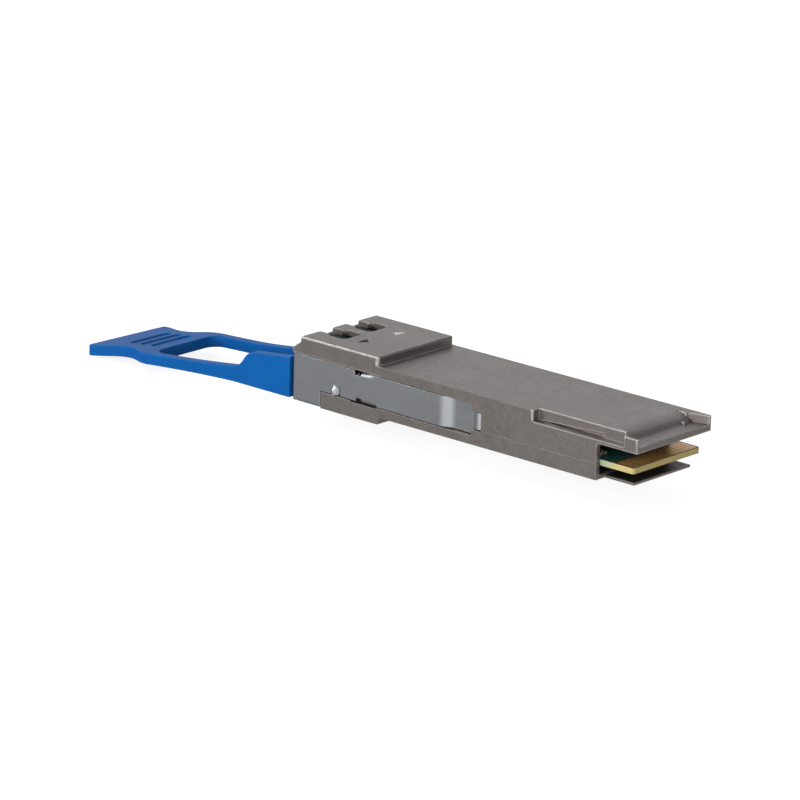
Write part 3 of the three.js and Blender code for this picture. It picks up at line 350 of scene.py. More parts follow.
def rolled_sheet():
    """Stainless sheet with rolling lines along the module."""
    n = Nodes("rolled_sheet")
    lines = n.noise((0.25, 14, 14), detail=4)
    cloud = n.noise((0.2, 0.2, 0.2))
    base = n.mix(cloud, (0.36, 0.375, 0.395), (0.41, 0.425, 0.445))
    # Edges painted near white: painted highlight, partly edge wear.
    base = n.mix(n.math("MULTIPLY", n.edges(0.07), 0.35), base, (0.85, 0.86, 0.88))
    rough = n.ramp(lines, 0.3, 0.7, 0.3, 0.42)
    return n.finish(base, rough, 0.9, n.bump(lines, 0.003))


def drawn_wire():
    """Bright spring wire with fine drawing lines."""
    n = Nodes("drawn_wire")
    lines = n.noise((3, 18, 18))
    base = n.mix(lines, (0.42, 0.43, 0.45), (0.62, 0.63, 0.65))
    return n.finish(base, n.ramp(lines, 0.3, 0.7, 0.2, 0.35), 1.0, n.bump(lines, 0.002))


def moulded_blue():
    """Soft blue elastomer: spark-eroded texture, a little paler along its edges as painted highlight, partly
    rub wear.
    """
    n = Nodes("moulded_blue")
    cloud = n.noise((0.18, 0.18, 0.18), detail=4)
    texture = n.cells((5.5, 5.5, 5.5))
    fine = n.noise((16, 16, 16))
    base = n.mix(n.ramp(cloud, 0.35, 0.65), (0.0002, 0.106, 0.385), (0.0004, 0.120, 0.43))
    # Edges painted paler: painted highlight, partly rub wear.
    base = n.mix(n.math("MULTIPLY", n.edges(0.5), 0.25), base, (0.010, 0.17, 0.54))
    rough = n.ramp(fine, 0.3, 0.7, 0.42, 0.56)
    normal = n.bump(fine, 0.004, under=n.bump(n.ramp(texture, 0.0, 0.7), 0.008, 0.6))
    return n.finish(base, rough, 0.0, normal, Specular_IOR_Level=0.16)


def slate_plastic():
    """Dark blue-grey moulded plastic."""
    n = Nodes("slate_plastic")
    fine = n.noise((12, 12, 12))
    cloud = n.noise((0.4, 0.4, 0.4))
    base = n.mix(cloud, (0.028, 0.040, 0.055), (0.040, 0.056, 0.075))
    return n.finish(base, n.ramp(fine, 0.3, 0.7, 0.5, 0.65), 0.0, n.bump(fine, 0.005))


def zirconia():
    """Off-white polished ceramic."""
    n = Nodes("zirconia")
    rings = n.noise((6, 1, 1))
    base = n.mix(rings, (0.78, 0.77, 0.72), (0.86, 0.85, 0.81))
    return n.finish(base, n.ramp(rings, 0.3, 0.7, 0.2, 0.3), 0.0, n.bump(rings, 0.002),
                    Subsurface_Weight=0.15, Subsurface_Scale=0.4 * MM)


def conductive_elastomer():
    """Dark rubber filled with grey flakes."""
    n = Nodes("conductive_elastomer")
    flakes = n.cells((7, 7, 7))
    base = n.mix(n.ramp(flakes, 0.1, 0.5), (0.14, 0.14, 0.14), (0.03, 0.03, 0.032))
    return n.finish(base, 0.75, 0.2, n.bump(flakes, 0.02))


def hard_gold():
    """Gold plating with faint polishing lines along the card."""
    n = Nodes("hard_gold")
    cloud = n.noise((1.2, 1.2, 1.2))
    lines = n.noise((1.0, 22, 22))
    base = n.mix(cloud, (0.74, 0.42, 0.13), (0.88, 0.54, 0.21))
    return n.finish(base, n.ramp(lines, 0.3, 0.7, 0.24, 0.36), 0.75, n.bump(lines, 0.002))


def stamped_spring_sheet():
    """Bright stamped steel with lines across the module."""
    n = Nodes("stamped_spring_sheet")
    lines = n.noise((14, 0.5, 0.5))
    base = n.mix(lines, (0.48, 0.49, 0.51), (0.60, 0.61, 0.63))
    return n.finish(base, n.ramp(lines, 0.3, 0.7, 0.26, 0.4), 1.0, n.bump(lines, 0.003))


def polyimide_film():
    """Amber film with copper traces that run along it."""
    n = Nodes("polyimide_film")
    across = n.place("Y")
    wave = n.math("PINGPONG", across, 0.25)
    trace = n.ramp(wave, 0.11, 0.14)
    base = n.mix(trace, (0.34, 0.13, 0.025), (0.52, 0.24, 0.06))
    return n.finish(base, 0.3, n.math("MULTIPLY", trace, 0.3), n.bump(trace, 0.01), Coat_Weight=0.4)


def solder_mask_board():
    """Green mask over copper traces on top and below, tan glass laminate on the cut edges."""
    n = Nodes("solder_mask_board")
    traces = n.math("PINGPONG", n.place("Y"), 0.4)
    runs = n.ramp(n.noise((0.35, 1.6, 0.35), detail=1), 0.48, 0.52)
    copper = n.math("MULTIPLY", n.ramp(traces, 0.2, 0.25), runs)
    green = n.mix(copper, (0.022, 0.105, 0.10), (0.035, 0.19, 0.15))
    # Board top around the contacts, where the mask stops, painted dark brown: bare board, darkened as
    # painted shade under the hood.
    bare = n.ramp(n.place("X"), HOOD_X + CONTACT_X0 - 0.5, HOOD_X + CONTACT_X0 - 0.3)
    green = n.mix(bare, green, (0.15, 0.08, 0.035))
    weave = n.noise((0.5, 8, 30), detail=2)
    laminate = n.mix(weave, (0.60, 0.47, 0.17), (0.78, 0.64, 0.29))
    pale = n.mix(weave, (0.36, 0.50, 0.33), (0.52, 0.64, 0.46))
    far_back = n.ramp(n.place("X"), HOOD_X - 7.8, HOOD_X - 4.4)
    side = n.mix(far_back, pale, laminate)
    up = n.math("ABSOLUTE", n.facing("Z"), 0.0)
    base = n.mix(n.ramp(up, 0.4, 0.6), side, green)
    rough = n.ramp(up, 0.4, 0.6, 0.6, 0.3)
    return n.finish(base, rough, 0.0, n.bump(copper, 0.02))


def moulded_epoxy():
    """Near-black chip package."""
    n = Nodes("moulded_epoxy")
    fine = n.noise((18, 18, 18))
    cloud = n.noise((0.7, 0.7, 0.7))
    base = n.mix(cloud, (0.010, 0.010, 0.012), (0.020, 0.020, 0.023))
    return n.finish(base, n.ramp(fine, 0.3, 0.7, 0.42, 0.6), 0.0, n.bump(fine, 0.006))


def fired_ceramic(centre_x):
    """Tan body with tinned end caps; the ends lie along X about centre_x."""
    n = Nodes("fired_ceramic")
    along = n.math("ABSOLUTE", n.math("SUBTRACT", n.place("X"), centre_x), 0.0)
    cap = n.ramp(along, 0.26, 0.29)
    fine = n.noise((15, 15, 15))
    body = n.mix(fine, (0.34, 0.24, 0.15), (0.44, 0.33, 0.22))
    base = n.mix(cap, body, (0.66, 0.66, 0.66))
    return n.finish(base, n.ramp(fine, 0.3, 0.7, 0.35, 0.5), cap, n.bump(fine, 0.004))


def oscillator_lid():
    """Pale brushed metal lid."""
    n = Nodes("oscillator_lid")
    lines = n.noise((20, 0.8, 0.8))
    base = n.mix(lines, (0.60, 0.56, 0.46), (0.72, 0.68, 0.58))
    return n.finish(base, n.ramp(lines, 0.3, 0.7, 0.26, 0.38), 0.9, n.bump(lines, 0.003))


def filled_silicone():
    """Grey-blue soft thermal pad."""
    n = Nodes("filled_silicone")
    fine = n.noise((9, 9, 9), detail=5)
    base = n.mix(fine, (0.20, 0.27, 0.34), (0.30, 0.38, 0.46))
    return n.finish(base, 0.85, 0.0, n.bump(fine, 0.02), Subsurface_Weight=0.1)


def black_nickel():
    """Dark plated screw steel, brighter at its edges."""
    n = Nodes("black_nickel")
    fine = n.noise((14, 14, 14))
    base = n.mix(fine, (0.10, 0.10, 0.105), (0.16, 0.16, 0.165))
    base = n.mix(n.edges(0.1), base, (0.5, 0.5, 0.5))
    return n.finish(base, n.ramp(fine, 0.3, 0.7, 0.28, 0.4), 0.95, n.bump(fine, 0.003))


def label_film():
    """Blank off-white film."""
    n = Nodes("label_film")
    fibre = n.noise((3, 9, 9), detail=5)
    base = n.mix(fibre, (0.80, 0.80, 0.78), (0.88, 0.88, 0.86))
    return n.finish(base, n.ramp(fibre, 0.3, 0.7, 0.42, 0.55), 0.0, n.bump(fibre, 0.004))


# ---------------------------------------------------------------- mesh helpers

def in_frame(verts):
    """Millimetre points drawn from the hood edge, in the row frame and in metres."""
    return [((x + HOOD_X) * MM, y * MM, z * MM) for x, y, z in verts]


def mesh_piece(name, verts, faces, body, material):
    """A new piece from millimetre points drawn from the hood edge, riding on a CAD body."""
    mesh = bpy.data.meshes.new(name)
    mesh.from_pydata(in_frame(verts), [], faces)
    mesh.validate()
    mesh.materials.append(material)
    obj = bpy.data.objects.new(name, mesh)
    bpy.context.scene.collection.objects.link(obj)
    tidy_faces(mesh)
    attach(obj, body)
    return obj


def tidy_faces(mesh):
    """Welds, turns every face outwards and shades smooth."""
    bm = bmesh.new()
    bm.from_mesh(mesh)
    bmesh.ops.remove_doubles(bm, verts=bm.verts, dist=1e-7)
    bmesh.ops.recalc_face_normals(bm, faces=bm.faces)
    bm.to_mesh(mesh)
    bm.free()
    mesh.shade_smooth()


def soften(obj, width, segments=2, angle=35):
    """Rounds the edges sharper than angle and keeps the flats flat."""
    bevel = obj.modifiers.new("rounded_edges", "BEVEL")
    bevel.width = width * MM
    bevel.segments = segments
    bevel.limit_method = "ANGLE"
    bevel.angle_limit = math.radians(angle)
    bevel.use_clamp_overlap = False
    bevel.loop_slide = False
    bevel.miter_outer = "MITER_ARC"
    shading = obj.modifiers.new("flat_faces", "WEIGHTED_NORMAL")
    shading.keep_sharp = False
    shading.weight = 100


def prepare_cad_node(obj, width, segments=2):
    """Welds a carried-over CAD node, joins its coplanar faces and rounds its edges, by modifiers only."""
    weld = obj.modifiers.new("weld", "WELD")
    weld.merge_threshold = 1e-6
    flats = obj.modifiers.new("whole_faces", "DECIMATE")
    flats.decimate_type = "DISSOLVE"
    flats.angle_limit = math.radians(0.6)
    soften(obj, width, segments)


def curve_points(p0, p1, p2, count):
    """Points of a quadratic curve after p0, up to p2."""
    points = []
    for i in range(1, count + 1):
        t = i / count
        points.append(tuple((1 - t) ** 2 * a + 2 * t * (1 - t) * b + t * t * c
                            for a, b, c in zip(p0, p1, p2)))
    return points


def cubic_points(p0, p1, p2, p3, count):
    """Points of a cubic curve after p0, up to p3."""
    points = []
    for i in range(1, count + 1):
        t = i / count
        s = 1 - t
        points.append(tuple(s ** 3 * a + 3 * s * s * t * b + 3 * s * t * t * c + t ** 3 * d
                            for a, b, c, d in zip(p0, p1, p2, p3)))
    return points


def arc_points(centre, radius, start, end, count):
    """Points of an arc in degrees, both ends included."""
    angles = [math.radians(start + (end - start) * i / count) for i in range(count + 1)]
    return [(centre[0] + radius * math.cos(a), centre[1] + radius * math.sin(a)) for a in angles]


def prism(outline, low, high, axis):
    """Vertices and faces of an outline pushed along an axis: 'z' for (x, y), 'y' for (x, z)."""
    count = len(outline)
    if axis == "z":
        verts = [(x, y, low) for x, y in outline] + [(x, y, high) for x, y in outline]
    else:
        verts = [(x, low, z) for x, z in outline] + [(x, high, z) for x, z in outline]
    faces = [tuple(range(count)), tuple(range(count, 2 * count))]
    faces += [(i, (i + 1) % count, count + (i + 1) % count, count + i) for i in range(count)]
    return verts, faces


def scratch_object(name, verts, faces):
    """A helper object for a boolean cut, in the row frame."""
    mesh = bpy.data.meshes.new(name)
    mesh.from_pydata(in_frame(verts), [], faces)
    tidy_faces(mesh)
    obj = bpy.data.objects.new(name, mesh)
    bpy.context.scene.collection.objects.link(obj)
    return obj


def apply_boolean(obj, tools):
    """Applies (operation, tool) pairs to obj, keeps the result as its mesh and removes the tools."""
    for operation, tool in tools:
        step = obj.modifiers.new("boolean", "BOOLEAN")
        step.operation = operation
        step.object = tool
        step.solver = "EXACT"
    bpy.context.view_layer.update()
    evaluated = obj.evaluated_get(bpy.context.evaluated_depsgraph_get())
    result = bpy.data.meshes.new_from_object(evaluated)
    obj.modifiers.clear()
    obj.data = result
    for _, tool in tools:
        bpy.data.objects.remove(tool)
    tidy_faces(obj.data)


# ---------------------------------------------------------------- pull tab

def tab_plan():
    """Outer edge of the tab seen from above."""
    half = [(TAB_START_X, TAB_HALF), (GRIP_INNER_X, TAB_HALF)]
    half += cubic_points((GRIP_INNER_X, TAB_HALF), (GRIP_INNER_X - FLARE_EASE, TAB_HALF),
                         (TAB_WAIST_X + FLARE_EASE, TAB_WAIST_HALF), (TAB_WAIST_X, TAB_WAIST_HALF), 14)
    corner_x = TAB_END_X + TAB_END_CORNER
    eased = TAB_END_HALF - TAB_END_CORNER
    half += cubic_points((TAB_WAIST_X, TAB_WAIST_HALF), (TAB_WAIST_X - FLARE_EASE, TAB_WAIST_HALF),
                         (corner_x + FLARE_EASE, eased), (corner_x, TAB_END_HALF), 12)
    half += arc_points((corner_x, eased), TAB_END_CORNER, 90, 180, 5)[1:]
    return half + [(x, -y) for x, y in reversed(half)]


def tab_window():
    """Opening between the legs, open towards the module."""
    inner = TAB_HALF - TAB_LEG
    corner_x = GRIP_INNER_X + GRIP_CORNER
    half = [(TAB_START_X + 2, inner)]
    half += arc_points((corner_x, inner - GRIP_CORNER), GRIP_CORNER, 90, 180, 12)
    return half + [(x, -y) for x, y in reversed(half)]


def tab_side():
    """The tab seen from the side: cheeks, legs and grip."""
    shoulder = (CHEEK["shoulder_x"], CHEEK["shoulder"])
    root_top = (LEG_ROOT["x"], LEG_ROOT["top"])
    grip_top = (GRIP_ROOT["x"], GRIP_ROOT["top"])
    grip_bottom = (GRIP_ROOT["x"], GRIP_ROOT["bottom"])
    leg_bottom = (LEG_ROOT["x"], LEG_ROOT["bottom"])
    points = [(TAB_START_X, LEG_ROOT["bottom"]),
              (TAB_START_X, CHEEK["front_top"]),
              (CHEEK["x"], CHEEK["back_top"])]
    points += curve_points(points[-1], (CHEEK["shoulder_x"] + 1.0, CHEEK["back_top"]), shoulder, 10)
    points += curve_points(shoulder, (CHEEK["shoulder_x"] - 1.0, LEG_ROOT["top"] + 0.2), root_top, 8)
    points += curve_points(root_top, (LEG_SAG["x"], LEG_SAG["top"]), grip_top, 10)
    points += curve_points(grip_top, (GRIP_SAG["x"], GRIP_SAG["top"]), (TAB_END_X, GRIP_END["top"]), 8)
    points += [(TAB_END_X, GRIP_END["bottom"])]
    points += curve_points(points[-1], (GRIP_SAG["x"], GRIP_SAG["bottom"]), grip_bottom, 8)
    points += curve_points(grip_bottom, (LEG_SAG["x"], LEG_SAG["bottom"]), leg_bottom, 10)
    return points


def grip_height(x):
    """Top of the grip at a station."""
    share = (x - GRIP_ROOT["x"]) / (TAB_END_X - GRIP_ROOT["x"])
    return GRIP_ROOT["top"] + share * (GRIP_END["top"] - GRIP_ROOT["top"])


def rib_groove(index):
    """Slot with round ends between two grip ribs."""
    x = RIB["x"] + index * RIB["pitch"]
    radius = RIB["half_width"]
    reach = RIB["half_length"] - radius
    outline = arc_points((x, reach), radius, 0, 180, 8) + arc_points((x, -reach), radius, 180, 360, 8)
    return prism(outline, grip_height(x) - RIB["depth"], grip_height(x) + 2, "z")


def tab_twist(x, y):
    """Rise of the soft tab at a point: one leg hangs a little lower, and the grip turns with it."""
    share = min(1.0, max(0.0, (GRIP_INNER_X - x) / (GRIP_INNER_X - TAB_END_X)))
    far = (y + TAB_HALF) / (2 * TAB_HALF)
    leg_share = min(1.0, max(0.0, (x - TAB_TWIST["root_x"]) / TAB_TWIST["ease"]))
    leg_drop = -TAB_TWIST["far_drop"] * far * leg_share
    grip_lift = TAB_TWIST["near_lift"] * (1 - far) * share
    return leg_drop + grip_lift


def pull_tab(material):
    """Blue tab: plan outline cut by its side view, its window and the grip grooves, then twisted."""
    reach = TAB_HALF + 1
    verts, faces = prism(tab_plan(), -reach, reach, "z")
    tab = mesh_piece("pull_tab_moulding", verts, faces, "latch", material)
    tools = [("INTERSECT", scratch_object("tab_side", *prism(tab_side(), -reach, reach, "y"))),
             ("DIFFERENCE", scratch_object("tab_window", *prism(tab_window(), -reach, reach, "z")))]
    for i in range(RIB["count"]):
        tools.append(("DIFFERENCE", scratch_object(f"rib_groove_{i}", *rib_groove(i))))
    apply_boolean(tab, tools)
    for vert in tab.data.vertices:
        vert.co.z += tab_twist(vert.co.x / MM - HOOD_X, vert.co.y / MM) * MM
    soften(tab, 0.22, 3)
    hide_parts("pull_tab")


# ---------------------------------------------------------------- latch slider

def along(x, x0, x1, at_x0, at_x1):
    """Straight-line value at x between two stations."""
    return at_x0 + (at_x1 - at_x0) * (x - x0) / (x1 - x0)


def arm_top(x):
    """Upper edge of the slider's arm."""
    return along(x, SLIDER_FRONT_X, TIP_X, ARM_TOP_FRONT, ARM_TOP_BACK)


def arm_low(x):
    """Lower edge of the slider's arm."""
    return along(x, CHEEK_BACK_X, TIP_X, ARM_LOW_FRONT, ARM_LOW_BACK)


def flat_pattern():
    """Outline of one half of the sheet before it is bent: (x, height along the sheet)."""
    strap_length = STRAP_BEND * math.pi / 2 + SLIDER_Y - STRAP_BEND
    strap_low = SLIDER_BOTTOM + STRAP_BEND - strap_length
    fold = FOLD_BEND * math.pi / 2 + TAB_REACH
    upper_fold = UPPER_TAB["edge"] - FOLD_BEND + fold
    lower_fold = LOWER_TAB["edge"] + FOLD_BEND - fold
    strap_edge = SLIDER_BOTTOM + STRAP_BEND
    slit_x = LUG["x1"] + LUG["slit"]
    return [
        (SLIDER_FRONT_X, SLIDER_BOTTOM + 0.15),
        (STRAP_FRONT_X - 0.15, SLIDER_BOTTOM + 0.15),
        (STRAP_FRONT_X - 0.15, strap_edge + 0.1),
        (STRAP_FRONT_X, strap_edge + 0.1),
        (STRAP_FRONT_X, strap_low),
        (CHEEK_BACK_X, strap_low),
        (CHEEK_BACK_X, arm_low(CHEEK_BACK_X)),
        (LUG["x0"], arm_low(LUG["x0"])),
        (LUG["x1"], arm_low(LUG["x1"])),
        (LUG["x1"], LUG["top"]),
        (slit_x, LUG["top"]),
        (slit_x, arm_low(slit_x)),
        (LOWER_RELIEF["x"], arm_low(LOWER_RELIEF["x"])),
        (LOWER_RELIEF["x"], LOWER_RELIEF["z"]),
        (LOWER_TAB["x0"], LOWER_RELIEF["z"]),
        (LOWER_TAB["x0"], lower_fold),
        (LOWER_TAB["x1"], lower_fold),
        (LOWER_TAB["x1"], arm_low(LOWER_TAB["x1"])),
        (TIP_X, arm_low(TIP_X)),
        (TIP_X, TONGUE_Z0),
        (TONGUE_END_X, TONGUE_Z0),
        (TONGUE_END_X, TONGUE_Z1),
        (TIP_X, TONGUE_Z1),
        (TIP_X, arm_top(TIP_X)),
        (UPPER_TAB["x1"], arm_top(UPPER_TAB["x1"])),
        (UPPER_TAB["x1"], upper_fold),
        (UPPER_TAB["x0"], upper_fold),
        (UPPER_TAB["x0"], UPPER_RELIEF["z"]),
        (UPPER_RELIEF["x"], UPPER_RELIEF["z"]),
        (UPPER_RELIEF["x"], arm_top(UPPER_RELIEF["x"])),
        (SLIDER_FRONT_X, arm_top(SLIDER_FRONT_X)),
    ]


def rounded_step(x, x0, x1, ease):
    """0 before x0 and 1 after x1, straight between them, with the two bends rounded over ease."""
    samples = 9
    total = 0.0
    for i in range(samples):
        shifted = x + ease * (i / (samples - 1) - 0.5)
        total += min(1.0, max(0.0, (shifted - x0) / (x1 - x0)))
    return total / samples


def sheet_face_y(x):
    """Outer face of the sheet, seen from above, behind the front bend."""
    y = SLIDER_Y - JOG_DEPTH * rounded_step(x, JOG_X0, JOG_X1, 1.0)
    if x > TIP_X:
        share = (x - TIP_X) / (TONGUE_END_X - TIP_X)
        y += CURL * math.sin(share * 0.85 * math.pi)
    return y


def lug_offset(x, z):
    """How far the lanced lug stands out, then in, of the sheet."""
    if not (LUG["x0"] < x <= LUG["x1"] and z < LUG["top"] + 0.2):
        return 0.0
    share = (x - LUG["x0"]) / (LUG["x1"] - LUG["x0"])
    bend = min(1.0, (LUG["top"] + 0.2 - z) / 0.5)
    if share < 0.3:
        return bend * LUG["rise"] * share / 0.3
    return bend * (LUG["rise"] - LUG["fall"] * (share - 0.3) / 0.7)


def bent_point(x, z, side):
    """Where a point of the flat pattern lies on the bent sheet's outer face, and the face's normal there."""
    bend_x = SLIDER_FRONT_X + FRONT_BEND
    if x < bend_x:
        angle = (bend_x - x) / FRONT_BEND * math.pi / 2 * FRONT_TURN
        point = Vector((bend_x - FRONT_BEND * math.sin(angle),
                        SLIDER_Y - FRONT_BEND * (1 - math.cos(angle)),
                        z))
        normal = Vector((-math.sin(angle), math.cos(angle), 0))
    else:
        step = 0.01
        slope = (sheet_face_y(x + step) - sheet_face_y(x - step)) / (2 * step)
        if x + step > TONGUE_END_X:
            slope = (sheet_face_y(x) - sheet_face_y(x - step)) / step
        point = Vector((x, sheet_face_y(x) + lug_offset(x, z), z))
        normal = Vector((-slope, 1, 0)).normalized()
    for x0, x1, start, direction, radius in FOLDS:
        beyond = (z - start) * direction
        if x0 - 1e-6 <= x <= x1 + 1e-6 and beyond > 0:
            angle = min(beyond / radius, math.pi / 2)
            flat = max(0.0, beyond - radius * math.pi / 2)
            point = Vector((x,
                            SLIDER_Y - radius * (1 - math.cos(angle)) - flat,
                            start + direction * radius * math.sin(angle)))
            normal = Vector((0, math.cos(angle), direction * math.sin(angle)))
    point.y *= side
    normal.y *= side
    return point, normal


def pattern_cuts():
    """Cuts that let the flat pattern bend: (x or height, normal, from x, to x, below height)."""
    lug_x0 = LUG["x0"] - FOLD_EASE
    lug_x1 = LUG["x1"] + LUG["slit"] + FOLD_EASE
    lug_top = LUG["top"] + 0.7
    stations = [SLIDER_FRONT_X + FRONT_BEND * i / 7 for i in range(1, 8)]
    stations += [JOG_X0 - 0.6 + 0.2 * i for i in range(7)]
    stations += [JOG_X1 - 0.6 + 0.2 * i for i in range(7)]
    stations += [along(i, 0, 8, TIP_X, TONGUE_END_X) for i in range(1, 8)]
    stations += [lug_x0, lug_x1, TIP_X - FOLD_EASE]
    stations += [LOWER_TAB["x1"] + FOLD_EASE, UPPER_TAB["x1"] + FOLD_EASE]
    stations += [x for x, _ in flat_pattern() if not lug_x0 < x < lug_x1]
    cuts = [(x, (1, 0, 0), SLIDER_FRONT_X, TONGUE_END_X, math.inf) for x in stations]
    for x0, x1, start, direction, radius in FOLDS:
        step = direction * radius * math.pi / 2 / FOLD_STEPS
        cuts += [(start + i * step, (0, 1, 0), x0, x1 + FOLD_EASE, math.inf)
                 for i in range(-1, FOLD_STEPS + 1)]
    heights = [lug_top] + [LUG["top"] + rise for rise in (0.4, 0.2, -0.05, -0.3)]
    cuts += [(z, (0, 1, 0), lug_x0, lug_x1, math.inf) for z in heights]
    lug_stations = [LUG["x0"] + reach for reach in (0.0, 0.13, 0.26, 0.39, 0.52, 0.9)]
    lug_stations += [LUG["x1"], LUG["x1"] + LUG["slit"]]
    cuts += [(x, (1, 0, 0), lug_x0, lug_x1, lug_top) for x in lug_stations]
    return cuts


def cut_pattern(bm, place, normal, x0, x1, top):
    """Cuts the faces whose middle lies between x0 and x1 and below top."""
    middles = [(face, face.calc_center_bounds()) for face in bm.faces]
    faces = [face for face, middle in middles if x0 < middle.x < x1 and middle.y < top]
    edges = dict.fromkeys(edge for face in faces for edge in face.edges)
    verts = dict.fromkeys(vert for face in faces for vert in face.verts)
    bmesh.ops.bisect_plane(bm, geom=[*verts, *edges, *faces], plane_co=Vector(normal) * place,
                           plane_no=normal, dist=1e-5)


def sheet_half(side):
    """Vertices and faces of one half of the slider, as a closed bent sheet."""
    bm = bmesh.new()
    bm.faces.new([bm.verts.new((x, z, 0)) for x, z in flat_pattern()])
    for cut in pattern_cuts():
        cut_pattern(bm, *cut)
    bm.verts.index_update()
    count = len(bm.verts)
    outer = []
    inner = []
    for vert in bm.verts:
        point, normal = bent_point(vert.co.x, vert.co.y, side)
        outer.append(tuple(point))
        inner.append(tuple(point - normal * SHEET))
    faces = []
    for face in bm.faces:
        ring = [vert.index for vert in face.verts]
        faces.append(tuple(ring))
        faces.append(tuple(index + count for index in reversed(ring)))
    for edge in bm.edges:
        if edge.is_boundary and not is_centre(edge):
            a, b = (vert.index for vert in edge.verts)
            faces.append((a, b, b + count, a + count))
    bm.free()
    return outer + inner, faces


def is_centre(edge):
    """True on the line where the two halves of the strap meet."""
    strap_low = SLIDER_BOTTOM + STRAP_BEND - STRAP_BEND * math.pi / 2 - SLIDER_Y + STRAP_BEND
    return all(abs(vert.co.y - strap_low) < 1e-4 for vert in edge.verts)


def latch_slider(material):
    """Both halves of the bent sheet as one piece."""
    verts = []
    faces = []
    for side in (-1, 1):
        half_verts, half_faces = sheet_half(side)
        faces += [tuple(index + len(verts) for index in face) for face in half_faces]
        verts += half_verts
    slider = mesh_piece("latch_slider_sheet", verts, faces, "latch", material)
    soften(slider, 0.06, 2, 50)
    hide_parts("latch_slider")


# ---------------------------------------------------------------- springs and contacts

def return_spring(side, name, node, material):
    """Round-wire coil with closed, flattened end turns."""
    rings = SPRING_TURNS * RINGS_PER_TURN
    length = SPRING_X1 - SPRING_X0 - 2 * SPRING_WIRE
    verts = []
    for i in range(rings + 1):
        t = i / rings
        turn = t * SPRING_TURNS
        pitch_share = spring_advance(turn)
        angle = 2 * math.pi * turn
        centre = Vector((SPRING_X0 + SPRING_WIRE + length * pitch_share,
                         side * SPRING_Y + SPRING_RADIUS * math.cos(angle),
                         SPRING_Z + SPRING_RADIUS * math.sin(angle)))
        radial = Vector((0, math.cos(angle), math.sin(angle)))
        for k in range(WIRE_SIDES):
            a = 2 * math.pi * k / WIRE_SIDES
            outward = math.cos(a) * radial + math.sin(a) * Vector((1, 0, 0))
            verts.append(tuple(centre + SPRING_WIRE * outward))
    faces = []
    for i in range(rings):
        for k in range(WIRE_SIDES):
            after = (k + 1) % WIRE_SIDES
            faces.append((i * WIRE_SIDES + k, i * WIRE_SIDES + after,
                          (i + 1) * WIRE_SIDES + after, (i + 1) * WIRE_SIDES + k))
    faces.append(tuple(range(WIRE_SIDES)))
    faces.append(tuple(range(rings * WIRE_SIDES, (rings + 1) * WIRE_SIDES)))
    spring = mesh_piece(name, verts, faces, "housing", material)
    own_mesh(spring)
    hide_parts(node)


def spring_advance(turn):
    """Share of the length reached after some turns: the first and last turns lie flat."""
    closed = 2.2 * SPRING_WIRE / (SPRING_X1 - SPRING_X0)
    if turn < 1:
        return closed * turn
    if turn > SPRING_TURNS - 1:
        return 1 - closed * (SPRING_TURNS - turn)
    return closed + (1 - 2 * closed) * (turn - 1) / (SPRING_TURNS - 2)


def contact_row(name, node, z_low, z_high, material):
    """Separate gold contacts with rounded inner ends."""
    verts = []
    faces = []
    half = CONTACT_WIDTH / 2
    for i in range(CONTACTS):
        y = (i - (CONTACTS - 1) / 2) * CONTACT_PITCH
        outline = [(CONTACT_X1, y - half), (CONTACT_X1, y + half)]
        outline += arc_points((CONTACT_X0 + half, y), half, 90, 270, 8)
        more_verts, more_faces = prism(outline, z_low, z_high, "z")
        faces += [tuple(index + len(verts) for index in face) for face in more_faces]
        verts += more_verts
    row = mesh_piece(name, verts, faces, "housing", material)
    soften(row, 0.015, 1)
    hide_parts(node)


# ---------------------------------------------------------------- scene

def direction(azimuth, elevation):
    """Unit vector from the object towards a viewer or a light."""
    a = math.radians(azimuth)
    e = math.radians(elevation)
    return Vector((math.sin(a) * math.cos(e), -math.cos(a) * math.cos(e), math.sin(e)))


def place_camera():
    """Camera on the photo's viewing angle, slightly rolled."""
    back = direction(CAMERA_AZIMUTH, CAMERA_ELEVATION)
    level = Vector((0, 0, 1)).cross(back).normalized()
    up = back.cross(level)
    roll = math.radians(CAMERA_ROLL)
    right = math.cos(roll) * level + math.sin(roll) * up
    top = math.cos(roll) * up - math.sin(roll) * level
    aim = (CAMERA_AIM + Vector((HOOD_X, 0, 0))) * MM
    camera = bpy.data.cameras.new("camera")
    camera.lens = CAMERA_LENS
    camera.clip_start = 0.01
    camera.clip_end = 50
    obj = bpy.data.objects.new("camera", camera)
    turn = Matrix((right, top, back)).transposed().to_4x4()
    obj.matrix_world = Matrix.Translation(aim + back * CAMERA_DISTANCE * MM) @ turn
    bpy.context.scene.collection.objects.link(obj)
    bpy.context.scene.camera = obj


def softbox(name, azimuth, elevation, distance, size, power):
    """Rectangular area light aimed at the middle of the module; sizes in millimetres."""
    light = bpy.data.lights.new(name, "AREA")
    light.shape = "RECTANGLE"
    light.size = size[0] * MM
    light.size_y = size[1] * MM
    light.energy = power
    obj = bpy.data.objects.new(name, light)
    toward = direction(azimuth, elevation)
    middle = Vector((HOOD_X - 50, 0, 3)) * MM
    obj.location = middle + toward * distance * MM
    obj.rotation_euler = toward.to_track_quat("Z", "Y").to_euler()
    bpy.context.scene.collection.objects.link(obj)


